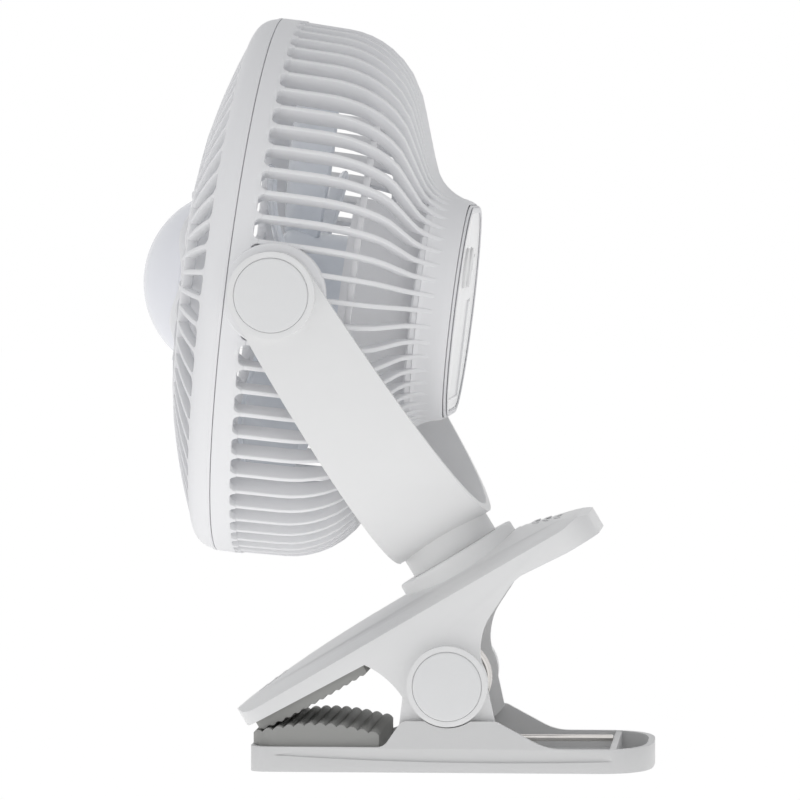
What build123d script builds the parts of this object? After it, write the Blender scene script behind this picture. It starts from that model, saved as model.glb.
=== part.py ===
from build123d import *
import os
from math import asin, atan2, ceil, cos, degrees, hypot, pi, radians, sin, sqrt, tan

# A battery clip fan. X runs to the back, Y across and Z up, in millimetres.
# The origin is the middle of the clip's flat underside.

# --- clearances ---
SLIDE_GAP = 0.15
PIN_GAP = 0.05
SPIN_GAP = 0.08
SEAT_GAP = 0.6
SWING_GAP = 2.6
WALL = 2.4

# --- base of the clip ---
BASE_LENGTH = 160.0
BASE_WIDTH = 86.0
BASE_FLOOR = 2.5
BASE_WALL = 2.6
FRONT_WALL_HEIGHT = 11.3
REAR_WALL_HEIGHT = 9.9
REAR_TIP_HEIGHT = 7.6
REAR_SLOPE_LENGTH = 11.0
SHOULDER_HEIGHT = 20.4
SHOULDER_FRONT = -18.8
SHOULDER_REAR = 18.4
SHOULDER_FOOT_FRONT = -26.5
SHOULDER_FOOT_REAR = 38.3
BASE_FRONT_CORNER = 7.0
BASE_REAR_CORNER = 16.0
BASE_EDGE_ROUND = 1.2
SHOULDER_ROUND = 3.0
LUG_THICKNESS = 3.5
LUG_RADIUS = 9.0
LUG_FOOT_LENGTH = 34.0
SPRING_RIB_X = 64.5
SPRING_RIB_HEIGHT = 10.8
SPRING_RIB_THICKNESS = 2.5

# --- clip hinge ---
HINGE_X = -0.5
HINGE_Z = 34.1
PIN_RADIUS = 2.5
LEG_THICKNESS = 3.0
LEG_LUG_GAP = 1.5
LEG_ROUND = 24.4
BOSS_RADIUS = 15.9
BOSS_HEIGHT = 6.0
CAP_RADIUS = 13.6
CAP_THICKNESS = 1.6
CAP_PROUD = 0.5

# --- torsion spring ---
WIRE_DIAMETER = 3.0
COIL_RADIUS = 14.0
COIL_TURNS = 3
COIL_PITCH = 3.6
WIRE_SIDES = 6
LOWER_LEG_HEIGHT = 9.4
LOWER_LEG_BEND_X = 22.0
LOWER_LEG_BEND_RADIUS = 12.0
UPPER_LEG_REACH = 34.0
SPRING_SEAT_GAP = 0.5
SPRING_END_GAP = 0.1

# --- lever, drawn along its own slope from the middle of the swivel seat ---
SEAT_X = 2.2
SEAT_Z = 80.5
SLOPE = 31.0
LEVER_INSET = 4.0
LEVER_NOSE = -101.2
LEVER_NOSE_BOW = 5.0
LEVER_NOSE_CORNER = 7.0
LEVER_TAIL = 56.0
LEVER_TAIL_CORNER = 14.0
CROWN_HEIGHT = 7.3
CROWN_NOSE_DROP = 4.4
CROWN_FLAT_START = -36.0
CROWN_TAIL_START = 27.0
CROWN_TAIL_DROP = 7.5
NOSE_EDGE_DROP = 11.8
NOSE_EDGE_END = -50.4
NOSE_EDGE_END_DROP = 14.6
HANDLE_DROP = 16.0
HANDLE_FOOT = 17.7
LEG_FRONT_CORNER = (-17.9, -4.7)
LEG_FRONT_FOOT = (-19.2, -15.7)
LEG_WAIST = (11.2, 19.0)
LEG_REAR_FOOT = (18.5, -14.3)
LEG_SAG = 1.0
PEDESTAL_DEPTH = 6.0
SPINDLE_BOSS_RADIUS = 9.0
SPINDLE_BOSS_DEPTH = 8.0

# --- rubber pads ---
LOWER_PAD_LENGTH = 50.0
LOWER_PAD_GAP = 0.3
LOWER_PAD_END_HEIGHT = 12.6
LOWER_PAD_CROWN = 4.4
RIB_PITCH = 4.4
RIB_HEIGHT = 1.6
UPPER_PAD_LENGTH = 47.0
UPPER_PAD_BACK = 1.0
UPPER_PAD_PLUG = 3.0
TOOTH_PITCH = 4.8
TOOTH_DEPTH = 2.4

# --- swivel and yoke ---
SWIVEL_RADIUS = 25.4
SWIVEL_THICKNESS = 4.2
NECK_RADIUS = 18.8
NECK_HEIGHT = 7.1
NECK_LIFT = 0.3
SPINDLE_RADIUS = 6.0
SPINDLE_SCREW_RADIUS = 1.5
SPINDLE_SCREW_HEAD = 3.6
WASHER_RADIUS = 7.2
WASHER_THICKNESS = 1.0
HOOP_THICKNESS = 3.5
ARM_HALF_WIDTH = 16.7
FOOT_HALF_WIDTH = 21.0
KNOB_RADIUS = 16.7
KNOB_HEIGHT = 4.4
KNOB_CAP_RADIUS = 14.2
STUB_RADIUS = 8.0
TILT_WASHER_RADIUS = 11.0
TILT_WASHER_THICKNESS = 1.2
TILT_SCREW_RADIUS = 2.0
TILT_SCREW_HEAD = 4.2

# --- head, drawn from the tilt axis: z forward along the fan's axis, x up, y across ---
HEAD_TILT = 7.0
RING_RADIUS = 107.3
RING_AHEAD = 18.5
RING_BAND = 7.5
SHELL = 2.2
RIB_COUNT = 60
RIB_THICKNESS = 2.2
RIB_DEPTH = 5.0
RIB_INSET = 0.15
RIB_TIP = 0.8
OUTER_STEPS = 3
INNER_STEPS = 2
RIB_START_BEHIND = 5.0
SHOULDER_BEHIND = 27.0
SHOULDER_DROP = 1.0
SHOULDER_ARC = 35.0
CAGE_SLOPE = 71.8
THROAT_ARC_BEHIND = 66.6
THROAT_ARC = 20.5
THROAT_BEHIND = 71.0
FIN_END_BEHIND = 79.0
PANEL_BEHIND = 86.0
NECK_FLARE_RADIUS = 46.6
NECK_SHOULDER_RADIUS = 43.4
NECK_END_RADIUS = 42.0
NECK_STRAIGHT = 22.0
HOOP_BEHIND = 48.0
HOOP_SECTION = 2.6
PAD_RADIUS = 19.9
PAD_DEPTH = 4.2
WEB_HALF_HEIGHT = 22.0
WEB_BEHIND = 40.0
PANEL_THICKNESS = 2.2
PANEL_SET_BACK = 0.6
RECESS_WIDTH = 58.0
RECESS_HEIGHT = 39.0
RECESS_DROP = 15.4
RECESS_DEPTH = 0.8

# --- front grille and lamp ---
BEZEL_DEPTH = 9.8
BEZEL_BAND = 7.3
BEZEL_LIP = 3.8
BEZEL_DROP = 1.0
GRILLE_RISE = 25.3
GRILLE_CURVE = 1.8
HUB_RADIUS = 35.0
MID_RING_RADIUS = 64.0
INNER_RIB_COUNT = 30
GRILLE_RIB_DEPTH = 4.5
GRILLE_RIB_THICKNESS = 2.0
GRILLE_STEPS = 2
TONGUE_LENGTH = 4.0
COLLAR_CREST = 28.3
COLLAR_VALLEY = 25.4
LOBES = 6
HUB_FLOOR_AHEAD = 14.5
LENS_RADIUS = 37.6
LENS_CENTRE_AHEAD = 6.2
LENS_RIM_RADIUS = 31.4
LENS_WALL = 2.0
LENS_BANDS = 5
LED_BOARD_RADIUS = 24.0
BOARD_THICKNESS = 1.6
LED_COUNT = 6
LED_CIRCLE = 15.0
LED_SIZE = 3.5

# --- motor, impeller and electrics ---
POD_AHEAD_OF_THROAT = 31.0
POD_HALF_HEIGHT = 39.5
POD_WALL = 2.0
MOTOR_RADIUS = 17.0
MOTOR_LENGTH = 26.0
SHAFT_RADIUS = 1.5
MOTOR_SCREW_HEAD = 2.4
IMPELLER_CLEARANCE = 10.3
IMPELLER_HUB_RADIUS = 24.0
IMPELLER_HUB_LENGTH = 26.0
IMPELLER_STAND_OFF = 5.0
BLADE_COUNT = 5
BLADE_THICKNESS = 1.8
BLADE_ROOT_CHORD = 27.0
BLADE_TIP_CHORD = 62.0
BLADE_ROOT_PITCH = 40.0
BLADE_TIP_PITCH = 20.0
BLADE_CAMBER = 0.08
CELL_RADIUS = 9.2
CELL_LENGTH = 65.0
BUTTON_RADIUS = 8.0
BUTTON_PROUD = 1.0
BUTTON_TRAVEL = 1.2
BUTTON_FLANGE = 1.2
BUTTON_RISE = 17.6
POWER_BUTTON_Y = -27.0
LAMP_BUTTON_Y = 0.0
PORT_Y = 21.0
PORT_WIDTH = 9.0
PORT_HEIGHT = 3.6

# --- places that follow from the sizes above ---
LEVER_WIDTH = BASE_WIDTH - 2 * LEVER_INSET
BEZEL_INNER = RING_RADIUS - BEZEL_BAND
IMPELLER_RADIUS = RING_RADIUS - IMPELLER_CLEARANCE
HOOP_INNER = hypot(RING_RADIUS, RING_AHEAD) + SWING_GAP
HOOP_OUTER = HOOP_INNER + HOOP_THICKNESS
SEAT_TO_PIVOT = SWIVEL_THICKNESS + NECK_LIFT + NECK_HEIGHT + HOOP_OUTER
PIVOT_X = SEAT_X - SEAT_TO_PIVOT * sin(radians(SLOPE))
PIVOT_Z = SEAT_Z + SEAT_TO_PIVOT * cos(radians(SLOPE))
ARM_FACE = HOOP_INNER - SEAT_GAP - SEAT_GAP
PAD_FACE = ARM_FACE - SEAT_GAP
KNOB_FACE = HOOP_OUTER + KNOB_HEIGHT
PANEL_Z = RING_AHEAD - PANEL_BEHIND
THROAT_Z = RING_AHEAD - THROAT_BEHIND
POD_FRONT_Z = THROAT_Z + POD_AHEAD_OF_THROAT
BASE_INNER = BASE_WIDTH / 2 - BASE_WALL
LEG_OUTER = LEVER_WIDTH / 2
LEG_INNER = LEG_OUTER - LEG_THICKNESS
LUG_OUTER = LEG_INNER - LEG_LUG_GAP
BOSS_FACE = LEG_OUTER + BOSS_HEIGHT
SEAT = Plane(
    origin=(SEAT_X, 0, SEAT_Z),
    x_dir=(cos(radians(SLOPE)), 0, sin(radians(SLOPE))),
    z_dir=(-sin(radians(SLOPE)), 0, cos(radians(SLOPE))),
)
YOKE = Plane(origin=(PIVOT_X, 0, PIVOT_Z), x_dir=SEAT.x_dir, z_dir=SEAT.z_dir)
HEAD = Plane(
    origin=(PIVOT_X, 0, PIVOT_Z),
    x_dir=(sin(radians(HEAD_TILT)), 0, cos(radians(HEAD_TILT))),
    z_dir=(-cos(radians(HEAD_TILT)), 0, sin(radians(HEAD_TILT))),
)


def side_slab(outline, start, end):
    """Extrude a side view's outline across, from Y = start to Y = end."""
    face = Plane.XZ * make_face(outline)
    return Pos(0, start, 0) * extrude(face, amount=end - start, dir=(0, 1, 0))


def across(radius, start, end, x=0.0, z=0.0):
    """A round bar along Y from start to end."""
    bar = Rot(-90, 0, 0) * Cylinder(radius, end - start, align=(Align.CENTER, Align.CENTER, Align.MIN))
    return Pos(x, start, z) * bar


def disc(radius, start, end):
    """A round bar along Z from start to end."""
    bar = Cylinder(radius, end - start, align=(Align.CENTER, Align.CENTER, Align.MIN))
    return Pos(0, 0, start) * bar


def both_sides(solid):
    """The solid and its mirror image across the middle plane."""
    return [solid, mirror(solid, about=Plane.XZ)]


def spun(outline):
    """Revolve an outline of (radius, height) about Z."""
    return revolve(Plane.XZ * make_face(outline), Axis.Z)


def stadium(half_height, z):
    """A flat outline with straight top and bottom and round ends, at height z."""
    slot = SlotCenterToCenter(2 * NECK_STRAIGHT, 2 * half_height)
    return Pos(0, 0, z) * Rot(0, 0, 90) * slot


def stadium_tube(heights, wall):
    """A tube through stadium outlines given as (half height, z), with an even wall."""
    outer = loft([stadium(size, z) for size, z in heights], ruled=True)
    inner = loft([stadium(size - wall, z) for size, z in heights], ruled=True)
    return outer - inner


# --- base ---
def base_outline():
    """Side view of the base: low walls, raised shoulders at the hinge, a tail that slopes off."""
    front = -BASE_LENGTH / 2
    rear = BASE_LENGTH / 2
    return Polyline(
        (front, 0),
        (rear, 0),
        (rear, REAR_TIP_HEIGHT),
        (rear - REAR_SLOPE_LENGTH, REAR_WALL_HEIGHT),
        (SHOULDER_FOOT_REAR, REAR_WALL_HEIGHT),
        (SHOULDER_REAR, SHOULDER_HEIGHT),
        (SHOULDER_FRONT, SHOULDER_HEIGHT),
        (SHOULDER_FOOT_FRONT, FRONT_WALL_HEIGHT),
        (front, FRONT_WALL_HEIGHT),
        close=True,
    )


def base_plan(inset):
    """Plan view of the base, drawn in by inset, with larger corners at the back."""
    face = Rectangle(BASE_LENGTH - 2 * inset, BASE_WIDTH - 2 * inset)
    corners = face.vertices().sort_by(Axis.X)
    face = fillet(corners[:2], BASE_FRONT_CORNER - inset)
    return fillet(face.vertices().group_by(Axis.X)[-1], BASE_REAR_CORNER - inset)


def base_shell():
    """Open tray with hinge shoulders, inner hinge lugs and the rib that stops the spring."""
    side = side_slab(base_outline(), -BASE_WIDTH / 2, BASE_WIDTH / 2)
    rounds = side.edges().filter_by(Axis.Y).filter_by(
        lambda edge: -SHOULDER_ROUND < edge.center().X - SHOULDER_FOOT_FRONT
        and edge.center().X - SHOULDER_FOOT_REAR < SHOULDER_ROUND
    )
    side = fillet(rounds, SHOULDER_ROUND)
    tray = side & extrude(base_plan(0), amount=SHOULDER_HEIGHT)
    tray = chamfer(tray.faces().sort_by(Axis.Z)[0].edges(), BASE_EDGE_ROUND)
    hollow = Pos(0, 0, BASE_FLOOR) * extrude(base_plan(BASE_WALL), amount=SHOULDER_HEIGHT)
    tray -= hollow
    scoop = across(BOSS_RADIUS + SEAT_GAP, -BASE_WIDTH, BASE_WIDTH, HINGE_X, HINGE_Z)
    tray -= scoop
    foot = LUG_FOOT_LENGTH / 2
    web = side_slab(
        Polyline(
            (HINGE_X - foot, BASE_FLOOR),
            (HINGE_X + foot, BASE_FLOOR),
            (HINGE_X + LUG_RADIUS, HINGE_Z),
            (HINGE_X - LUG_RADIUS, HINGE_Z),
            close=True,
        ),
        LUG_OUTER - LUG_THICKNESS,
        LUG_OUTER,
    )
    lug = web + across(LUG_RADIUS, LUG_OUTER - LUG_THICKNESS, LUG_OUTER, HINGE_X, HINGE_Z)
    tray += both_sides(lug)
    rib_rise = SPRING_RIB_HEIGHT - BASE_FLOOR
    rib_at = (SPRING_RIB_X, 0, BASE_FLOOR + rib_rise / 2)
    tray += Pos(*rib_at) * Box(SPRING_RIB_THICKNESS, 2 * BASE_INNER, rib_rise) & side
    return tray - across(PIN_RADIUS + PIN_GAP, -LUG_OUTER, LUG_OUTER, HINGE_X, HINGE_Z)


def clip_pin():
    """Steel pin on which the lever turns."""
    reach = BOSS_FACE - CAP_THICKNESS - SEAT_GAP
    return across(PIN_RADIUS, -reach, reach, HINGE_X, HINGE_Z)


def lower_pad():
    """Rubber pad in the base's front: an arched back with round ribs across."""
    front = -BASE_LENGTH / 2 + BASE_WALL + LOWER_PAD_GAP
    ribs = round(LOWER_PAD_LENGTH / RIB_PITCH)
    pitch = LOWER_PAD_LENGTH / ribs
    height = [
        LOWER_PAD_END_HEIGHT + LOWER_PAD_CROWN * sin(pi * index / ribs) for index in range(ribs + 1)
    ]
    edges = []
    for index in range(ribs):
        left = front + index * pitch
        top = (height[index] + height[index + 1]) / 2 + RIB_HEIGHT
        start = (left, height[index])
        end = (left + pitch, height[index + 1])
        edges.append(ThreePointArc(start, (left + pitch / 2, top), end))
    rear = front + LOWER_PAD_LENGTH
    edges.append(Line((rear, height[-1]), (rear, BASE_FLOOR)))
    edges.append(Line((rear, BASE_FLOOR), (front, BASE_FLOOR)))
    edges.append(Line((front, BASE_FLOOR), (front, height[0])))
    half = BASE_INNER - LOWER_PAD_GAP
    return side_slab(edges, -half, half) & extrude(
        base_plan(BASE_WALL + LOWER_PAD_GAP), amount=2 * SHOULDER_HEIGHT
    )


# --- torsion spring ---
def spring_route():
    """Edges of the spring's centre line, its drift across included, with points along it."""
    drift = COIL_PITCH / (2 * pi * COIL_RADIUS)
    lower_end = (SPRING_RIB_X - SPRING_RIB_THICKNESS / 2 - SPRING_END_GAP, LOWER_LEG_HEIGHT)
    bend = (LOWER_LEG_BEND_X, LOWER_LEG_HEIGHT)
    away = hypot(HINGE_X - bend[0], HINGE_Z - bend[1])
    lean = atan2(HINGE_Z - bend[1], HINGE_X - bend[0])
    heading_in = lean + atan2(COIL_RADIUS, sqrt(away**2 - COIL_RADIUS**2))
    arch = CROWN_HEIGHT * (COIL_PITCH * COIL_TURNS / LEVER_WIDTH) ** 2
    drop = WALL + arch + WIRE_DIAMETER / 2 + SPRING_SEAT_GAP
    tip = SEAT.from_local_coords((UPPER_LEG_REACH, 0, -drop))
    far = hypot(tip.X - HINGE_X, tip.Z - HINGE_Z)
    rise = atan2(tip.Z - HINGE_Z, tip.X - HINGE_X)
    heading_out = rise - atan2(COIL_RADIUS, sqrt(far**2 - COIL_RADIUS**2))
    turn_in = pi - heading_in
    setback = LOWER_LEG_BEND_RADIUS * abs(turn_in) / 2
    swing = heading_in - heading_out + 2 * pi * COIL_TURNS
    pieces = [("line", lower_end[0] - bend[0] - setback, 0.0)]
    pieces.append(("arc", LOWER_LEG_BEND_RADIUS, -turn_in))
    pieces.append(("line", sqrt(away**2 - COIL_RADIUS**2) - setback, 0.0))
    quarters = round(swing / (pi / 2))
    pieces += [("arc", COIL_RADIUS, -swing / quarters)] * quarters
    pieces.append(("line", sqrt(far**2 - COIL_RADIUS**2), 0.0))
    length_in = sum(size if kind == "line" else size * abs(turn) for kind, size, turn in pieces[:3])
    start_y = (COIL_PITCH * swing / (2 * pi)) / 2 + drift * length_in
    return walk_route(pieces, lower_end, start_y, drift)


def walk_route(pieces, start, start_y, drift):
    """Lay lines and helical arcs end to end; each arc becomes two tangent circular arcs."""
    x, z = start
    y = start_y
    heading = pi
    edges = []
    points = []
    for kind, size, turn in pieces:
        here = Vector(x, y, z)
        tangent = Vector(cos(heading), -drift, sin(heading)).normalized()
        if kind == "line":
            x += size * cos(heading)
            z += size * sin(heading)
            y -= drift * size
            edges.append(Edge.make_line(here, Vector(x, y, z)))
        else:
            side = 1 if turn > 0 else -1
            centre = (x - side * size * sin(heading), z + side * size * cos(heading))
            heading += turn
            x = centre[0] + side * size * sin(heading)
            z = centre[1] - side * size * cos(heading)
            y -= drift * size * abs(turn)
            leaving = Vector(cos(heading), -drift, sin(heading)).normalized()
            edges += biarc(here, tangent, Vector(x, y, z), leaving)
    for edge in edges:
        samples = ceil(edge.length)
        points += [edge @ (index / samples) for index in range(samples)]
    return edges, points


def biarc(start, start_tangent, end, end_tangent):
    """Two circular arcs, tangent to each other and to the given directions."""
    span = end - start
    both = start_tangent + end_tangent
    square = 2 * (1 - start_tangent.dot(end_tangent))
    along = span.dot(both)
    reach = (sqrt(along**2 + square * span.dot(span)) - along) / square
    joint = (start + end + (start_tangent - end_tangent) * reach) * 0.5
    middle_tangent = (end - end_tangent * reach) - (start + start_tangent * reach)
    return [
        Edge.make_tangent_arc(start, start_tangent, joint),
        Edge.make_tangent_arc(joint, middle_tangent.normalized(), end),
    ]


def least_gap(points):
    """Least clear distance between strands of the spring that are over a half turn apart."""
    apart = ceil(pi * COIL_RADIUS)
    least = min(
        (points[first] - points[second]).length
        for first in range(0, len(points), 2)
        for second in range(first + apart, len(points))
    )
    return least - WIRE_DIAMETER


def clip_spring():
    """Torsion spring: one wire from the base's rib, round the pin, to under the handle."""
    edges, points = spring_route()
    path = Wire(edges)
    start = edges[0] @ 0
    section = Plane(origin=start, z_dir=edges[0] % 0, x_dir=(0, 0, 1))
    wire_radius = WIRE_DIAMETER / 2
    print("spring coil radius", COIL_RADIUS, "bend radius", LOWER_LEG_BEND_RADIUS)
    print("spring least gap", round(least_gap(points), 2))
    return sweep(section * RegularPolygon(wire_radius, WIRE_SIDES), path=path)


# --- lever ---
def crown_line(drop):
    """Side view of the lever's top, drawn down by drop, as edges from the nose to the tail."""
    nose = LEVER_NOSE - LEVER_NOSE_BOW
    bulge = CROWN_NOSE_DROP / 4
    middle = (nose + CROWN_FLAT_START) / 2
    tail_middle = (CROWN_TAIL_START + LEVER_TAIL) / 2
    return [
        ThreePointArc((nose, -CROWN_NOSE_DROP - drop), (middle, -bulge - drop), (CROWN_FLAT_START, -drop)),
        Line((CROWN_FLAT_START, -drop), (CROWN_TAIL_START, -drop)),
        ThreePointArc(
            (CROWN_TAIL_START, -drop),
            (tail_middle, -CROWN_TAIL_DROP / 3 - drop),
            (LEVER_TAIL, -CROWN_TAIL_DROP - drop),
        ),
    ]


def lever_local(outline, half_width):
    """Extrude an outline drawn along the lever's slope across to both sides."""
    face = Plane.XZ * make_face(outline)
    return SEAT.location * extrude(face, amount=half_width, both=True)


def lever_plan(inset, depth):
    """Plan view of the lever, drawn in by inset and extruded along its depth both ways."""
    half = LEVER_WIDTH / 2 - inset
    nose = LEVER_NOSE + inset
    tail = LEVER_TAIL - inset
    face = make_face(
        [
            ThreePointArc((nose, -half), (nose - LEVER_NOSE_BOW, 0), (nose, half)),
            Line((nose, half), (tail, half)),
            Line((tail, half), (tail, -half)),
            Line((tail, -half), (nose, -half)),
        ]
    )
    corners = face.vertices().group_by(Axis.X)
    face = fillet(corners[0], LEVER_NOSE_CORNER - inset)
    face = fillet(face.vertices().group_by(Axis.X)[-1], LEVER_TAIL_CORNER - inset)
    return SEAT.location * extrude(face, amount=depth, both=True)


def lever_arch(inset):
    """Cross section of the lever with its arched top, extruded along the slope."""
    half = LEVER_WIDTH / 2
    depth = 2 * HANDLE_DROP + SEAT_Z
    face = make_face(
        [
            ThreePointArc((-half, -CROWN_HEIGHT - inset), (0, -inset), (half, -CROWN_HEIGHT - inset)),
            Line((half, -CROWN_HEIGHT - inset), (half, -depth)),
            Line((half, -depth), (-half, -depth)),
            Line((-half, -depth), (-half, -CROWN_HEIGHT - inset)),
        ]
    )
    return SEAT.location * extrude(Plane.YZ * face, amount=2 * LEVER_TAIL - LEVER_NOSE, both=True)


def lever_plate():
    """The lever's slab from nose to tail, still solid, from its crown to its lower edges."""
    nose = LEVER_NOSE - LEVER_NOSE_BOW
    edges = crown_line(0)
    edges.append(Line((LEVER_TAIL, -CROWN_TAIL_DROP), (LEVER_TAIL, -HANDLE_DROP)))
    edges.append(Line((LEVER_TAIL, -HANDLE_DROP), (HANDLE_FOOT, -HANDLE_DROP)))
    edges.append(Line((HANDLE_FOOT, -HANDLE_DROP), (NOSE_EDGE_END, -NOSE_EDGE_END_DROP)))
    edges.append(Line((NOSE_EDGE_END, -NOSE_EDGE_END_DROP), (nose, -NOSE_EDGE_DROP)))
    edges.append(Line((nose, -NOSE_EDGE_DROP), (nose, -CROWN_NOSE_DROP)))
    return lever_local(edges, LEVER_WIDTH / 2)


def lever_legs():
    """The two side plates that come down from the slab and turn on the pin."""
    front = SEAT.from_local_coords((NOSE_EDGE_END, 0, -NOSE_EDGE_END_DROP))
    rear = SEAT.from_local_coords((HANDLE_FOOT, 0, -HANDLE_DROP))
    top_front = SEAT.from_local_coords((NOSE_EDGE_END, 0, -CROWN_HEIGHT))
    top_rear = SEAT.from_local_coords((HANDLE_FOOT, 0, -CROWN_HEIGHT))
    corner = (HINGE_X + LEG_FRONT_CORNER[0], HINGE_Z + LEG_FRONT_CORNER[1])
    front_foot = (HINGE_X + LEG_FRONT_FOOT[0], HINGE_Z + LEG_FRONT_FOOT[1])
    waist = (HINGE_X + LEG_WAIST[0], HINGE_Z + LEG_WAIST[1])
    rear_foot = (HINGE_X + LEG_REAR_FOOT[0], HINGE_Z + LEG_REAR_FOOT[1])
    sag = ((front.X + corner[0]) / 2 + LEG_SAG, (front.Z + corner[1]) / 2 + LEG_SAG)
    leg = side_slab(
        [
            Line((top_front.X, top_front.Z), (front.X, front.Z)),
            ThreePointArc((front.X, front.Z), sag, corner),
            Line(corner, front_foot),
            ThreePointArc(front_foot, (HINGE_X, HINGE_Z - LEG_ROUND), rear_foot),
            Line(rear_foot, waist),
            Line(waist, (rear.X, rear.Z)),
            Line((rear.X, rear.Z), (top_rear.X, top_rear.Z)),
            Line((top_rear.X, top_rear.Z), (top_front.X, top_front.Z)),
        ],
        LEG_INNER,
        LEG_OUTER,
    )
    boss = across(BOSS_RADIUS, LEG_INNER, BOSS_FACE, HINGE_X, HINGE_Z)
    recess = across(CAP_RADIUS + SLIDE_GAP, BOSS_FACE - CAP_THICKNESS, BOSS_FACE + WALL, HINGE_X, HINGE_Z)
    return both_sides(leg + boss - recess)


def lever_shell():
    """Hollow lever: arched top, side walls, hinge legs and the pedestal of the swivel."""
    outer = lever_plate() & lever_plan(0, LEVER_WIDTH) & lever_arch(0)
    inner = [*crown_line(WALL)]
    low = -2 * HANDLE_DROP
    nose = LEVER_NOSE - LEVER_NOSE_BOW
    inner.append(Line((LEVER_TAIL, -CROWN_TAIL_DROP - WALL), (LEVER_TAIL, low)))
    inner.append(Line((LEVER_TAIL, low), (nose, low)))
    inner.append(Line((nose, low), (nose, -CROWN_NOSE_DROP - WALL)))
    hollow = lever_local(inner, LEG_INNER) & lever_plan(LEG_THICKNESS, LEVER_WIDTH) & lever_arch(WALL)
    shell = outer - hollow
    pedestal = SEAT.location * disc(SWIVEL_RADIUS, -PEDESTAL_DEPTH, 0)
    boss = SEAT.location * disc(SPINDLE_BOSS_RADIUS, -SPINDLE_BOSS_DEPTH, 0)
    shell = shell + pedestal + boss + lever_legs()
    bore = SEAT.location * disc(SPINDLE_RADIUS + SPIN_GAP, -2 * SPINDLE_BOSS_DEPTH, SPINDLE_BOSS_DEPTH)
    pin_bore = across(PIN_RADIUS + PIN_GAP, -BOSS_FACE, BOSS_FACE, HINGE_X, HINGE_Z)
    return shell - bore - pin_bore


def pivot_caps():
    """Flat round caps that close the hinge bosses."""
    start = BOSS_FACE - CAP_THICKNESS
    cap = across(CAP_RADIUS, start, BOSS_FACE + CAP_PROUD, HINGE_X, HINGE_Z)
    return both_sides(cap)


def upper_pad():
    """Rubber pad under the lever's nose: teeth below the edge and a plug between the walls."""
    fall = (NOSE_EDGE_END_DROP - NOSE_EDGE_DROP) / (NOSE_EDGE_END - LEVER_NOSE + LEVER_NOSE_BOW)
    front = LEVER_NOSE + LEG_THICKNESS
    teeth = round(UPPER_PAD_LENGTH / TOOTH_PITCH)
    pitch = UPPER_PAD_LENGTH / teeth

    def edge_at(place):
        return -NOSE_EDGE_DROP - fall * (place - LEVER_NOSE + LEVER_NOSE_BOW)

    zigzag = [(front, edge_at(front))]
    for index in range(teeth):
        left = front + index * pitch
        valley = (left, edge_at(left) - UPPER_PAD_BACK)
        tip = (left + pitch / 2, edge_at(left + pitch / 2) - UPPER_PAD_BACK - TOOTH_DEPTH)
        zigzag += [valley, tip]
    rear = front + UPPER_PAD_LENGTH
    zigzag.append((rear, edge_at(rear) - UPPER_PAD_BACK))
    zigzag.append((rear, edge_at(rear)))
    back = lever_local(Polyline(*zigzag, close=True), LEG_OUTER - LOWER_PAD_GAP)
    sunk = UPPER_PAD_BACK / 2
    plug = lever_local(
        Polyline(
            (front + LOWER_PAD_GAP, edge_at(front) - sunk),
            (rear, edge_at(rear) - sunk),
            (rear, edge_at(rear) + UPPER_PAD_PLUG),
            (front + LOWER_PAD_GAP, edge_at(front) + UPPER_PAD_PLUG),
            close=True,
        ),
        LEG_INNER - LOWER_PAD_GAP,
    )
    plug &= lever_plan(LEG_THICKNESS + LOWER_PAD_GAP, LEVER_WIDTH)
    return (back & lever_plan(LOWER_PAD_GAP, LEVER_WIDTH)) + plug


# --- swivel and yoke ---
def swivel_plate():
    """Round plate on the lever on which the yoke's foot turns."""
    plate = disc(SWIVEL_RADIUS, 0, SWIVEL_THICKNESS)
    plate = chamfer(plate.edges().sort_by(Axis.Z)[-1], WALL / 4)
    return SEAT.location * (plate - disc(SPINDLE_RADIUS + SPIN_GAP, 0, SWIVEL_THICKNESS))


def yoke_hoop():
    """Half hoop with round tilt bosses at its ends and a turning foot with a spindle below."""
    widest = 2 * FOOT_HALF_WIDTH
    half_ring = Rot(0, 90, 0) * (Cylinder(HOOP_OUTER, widest) - Cylinder(HOOP_INNER, widest))
    half_ring &= Pos(0, 0, -HOOP_OUTER) * Box(widest, 2 * HOOP_OUTER, 2 * HOOP_OUTER)
    silhouette = side_slab(
        Polyline(
            (-ARM_HALF_WIDTH, 0),
            (ARM_HALF_WIDTH, 0),
            (FOOT_HALF_WIDTH, -HOOP_OUTER - NECK_HEIGHT),
            (-FOOT_HALF_WIDTH, -HOOP_OUTER - NECK_HEIGHT),
            close=True,
        ),
        -HOOP_OUTER,
        HOOP_OUTER,
    )
    hoop = half_ring & silhouette
    foot_top = -HOOP_INNER - HOOP_THICKNESS / 2
    foot_end = -HOOP_OUTER - NECK_HEIGHT
    foot = disc(NECK_RADIUS, foot_end, foot_top)
    spindle_end = foot_end - NECK_LIFT - SWIVEL_THICKNESS - SPINDLE_BOSS_DEPTH
    spindle = disc(SPINDLE_RADIUS, spindle_end, foot_end)
    spindle -= disc(SPINDLE_SCREW_RADIUS, spindle_end, foot_end)
    knob = across(KNOB_RADIUS, ARM_FACE, KNOB_FACE)
    stub = across(STUB_RADIUS, PAD_FACE - PAD_DEPTH - SLIDE_GAP, ARM_FACE)
    pocket_floor = KNOB_FACE - CAP_THICKNESS - TILT_SCREW_RADIUS - SEAT_GAP
    pocket = across(TILT_SCREW_HEAD + SLIDE_GAP, pocket_floor, KNOB_FACE)
    recess = across(KNOB_CAP_RADIUS + SLIDE_GAP, KNOB_FACE - CAP_THICKNESS, KNOB_FACE + WALL)
    hoop = hoop + foot + spindle + both_sides(knob + stub)
    cuts = both_sides(across(TILT_SCREW_RADIUS, 0, KNOB_FACE) + pocket + recess)
    return YOKE.location * (hoop - cuts)


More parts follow.
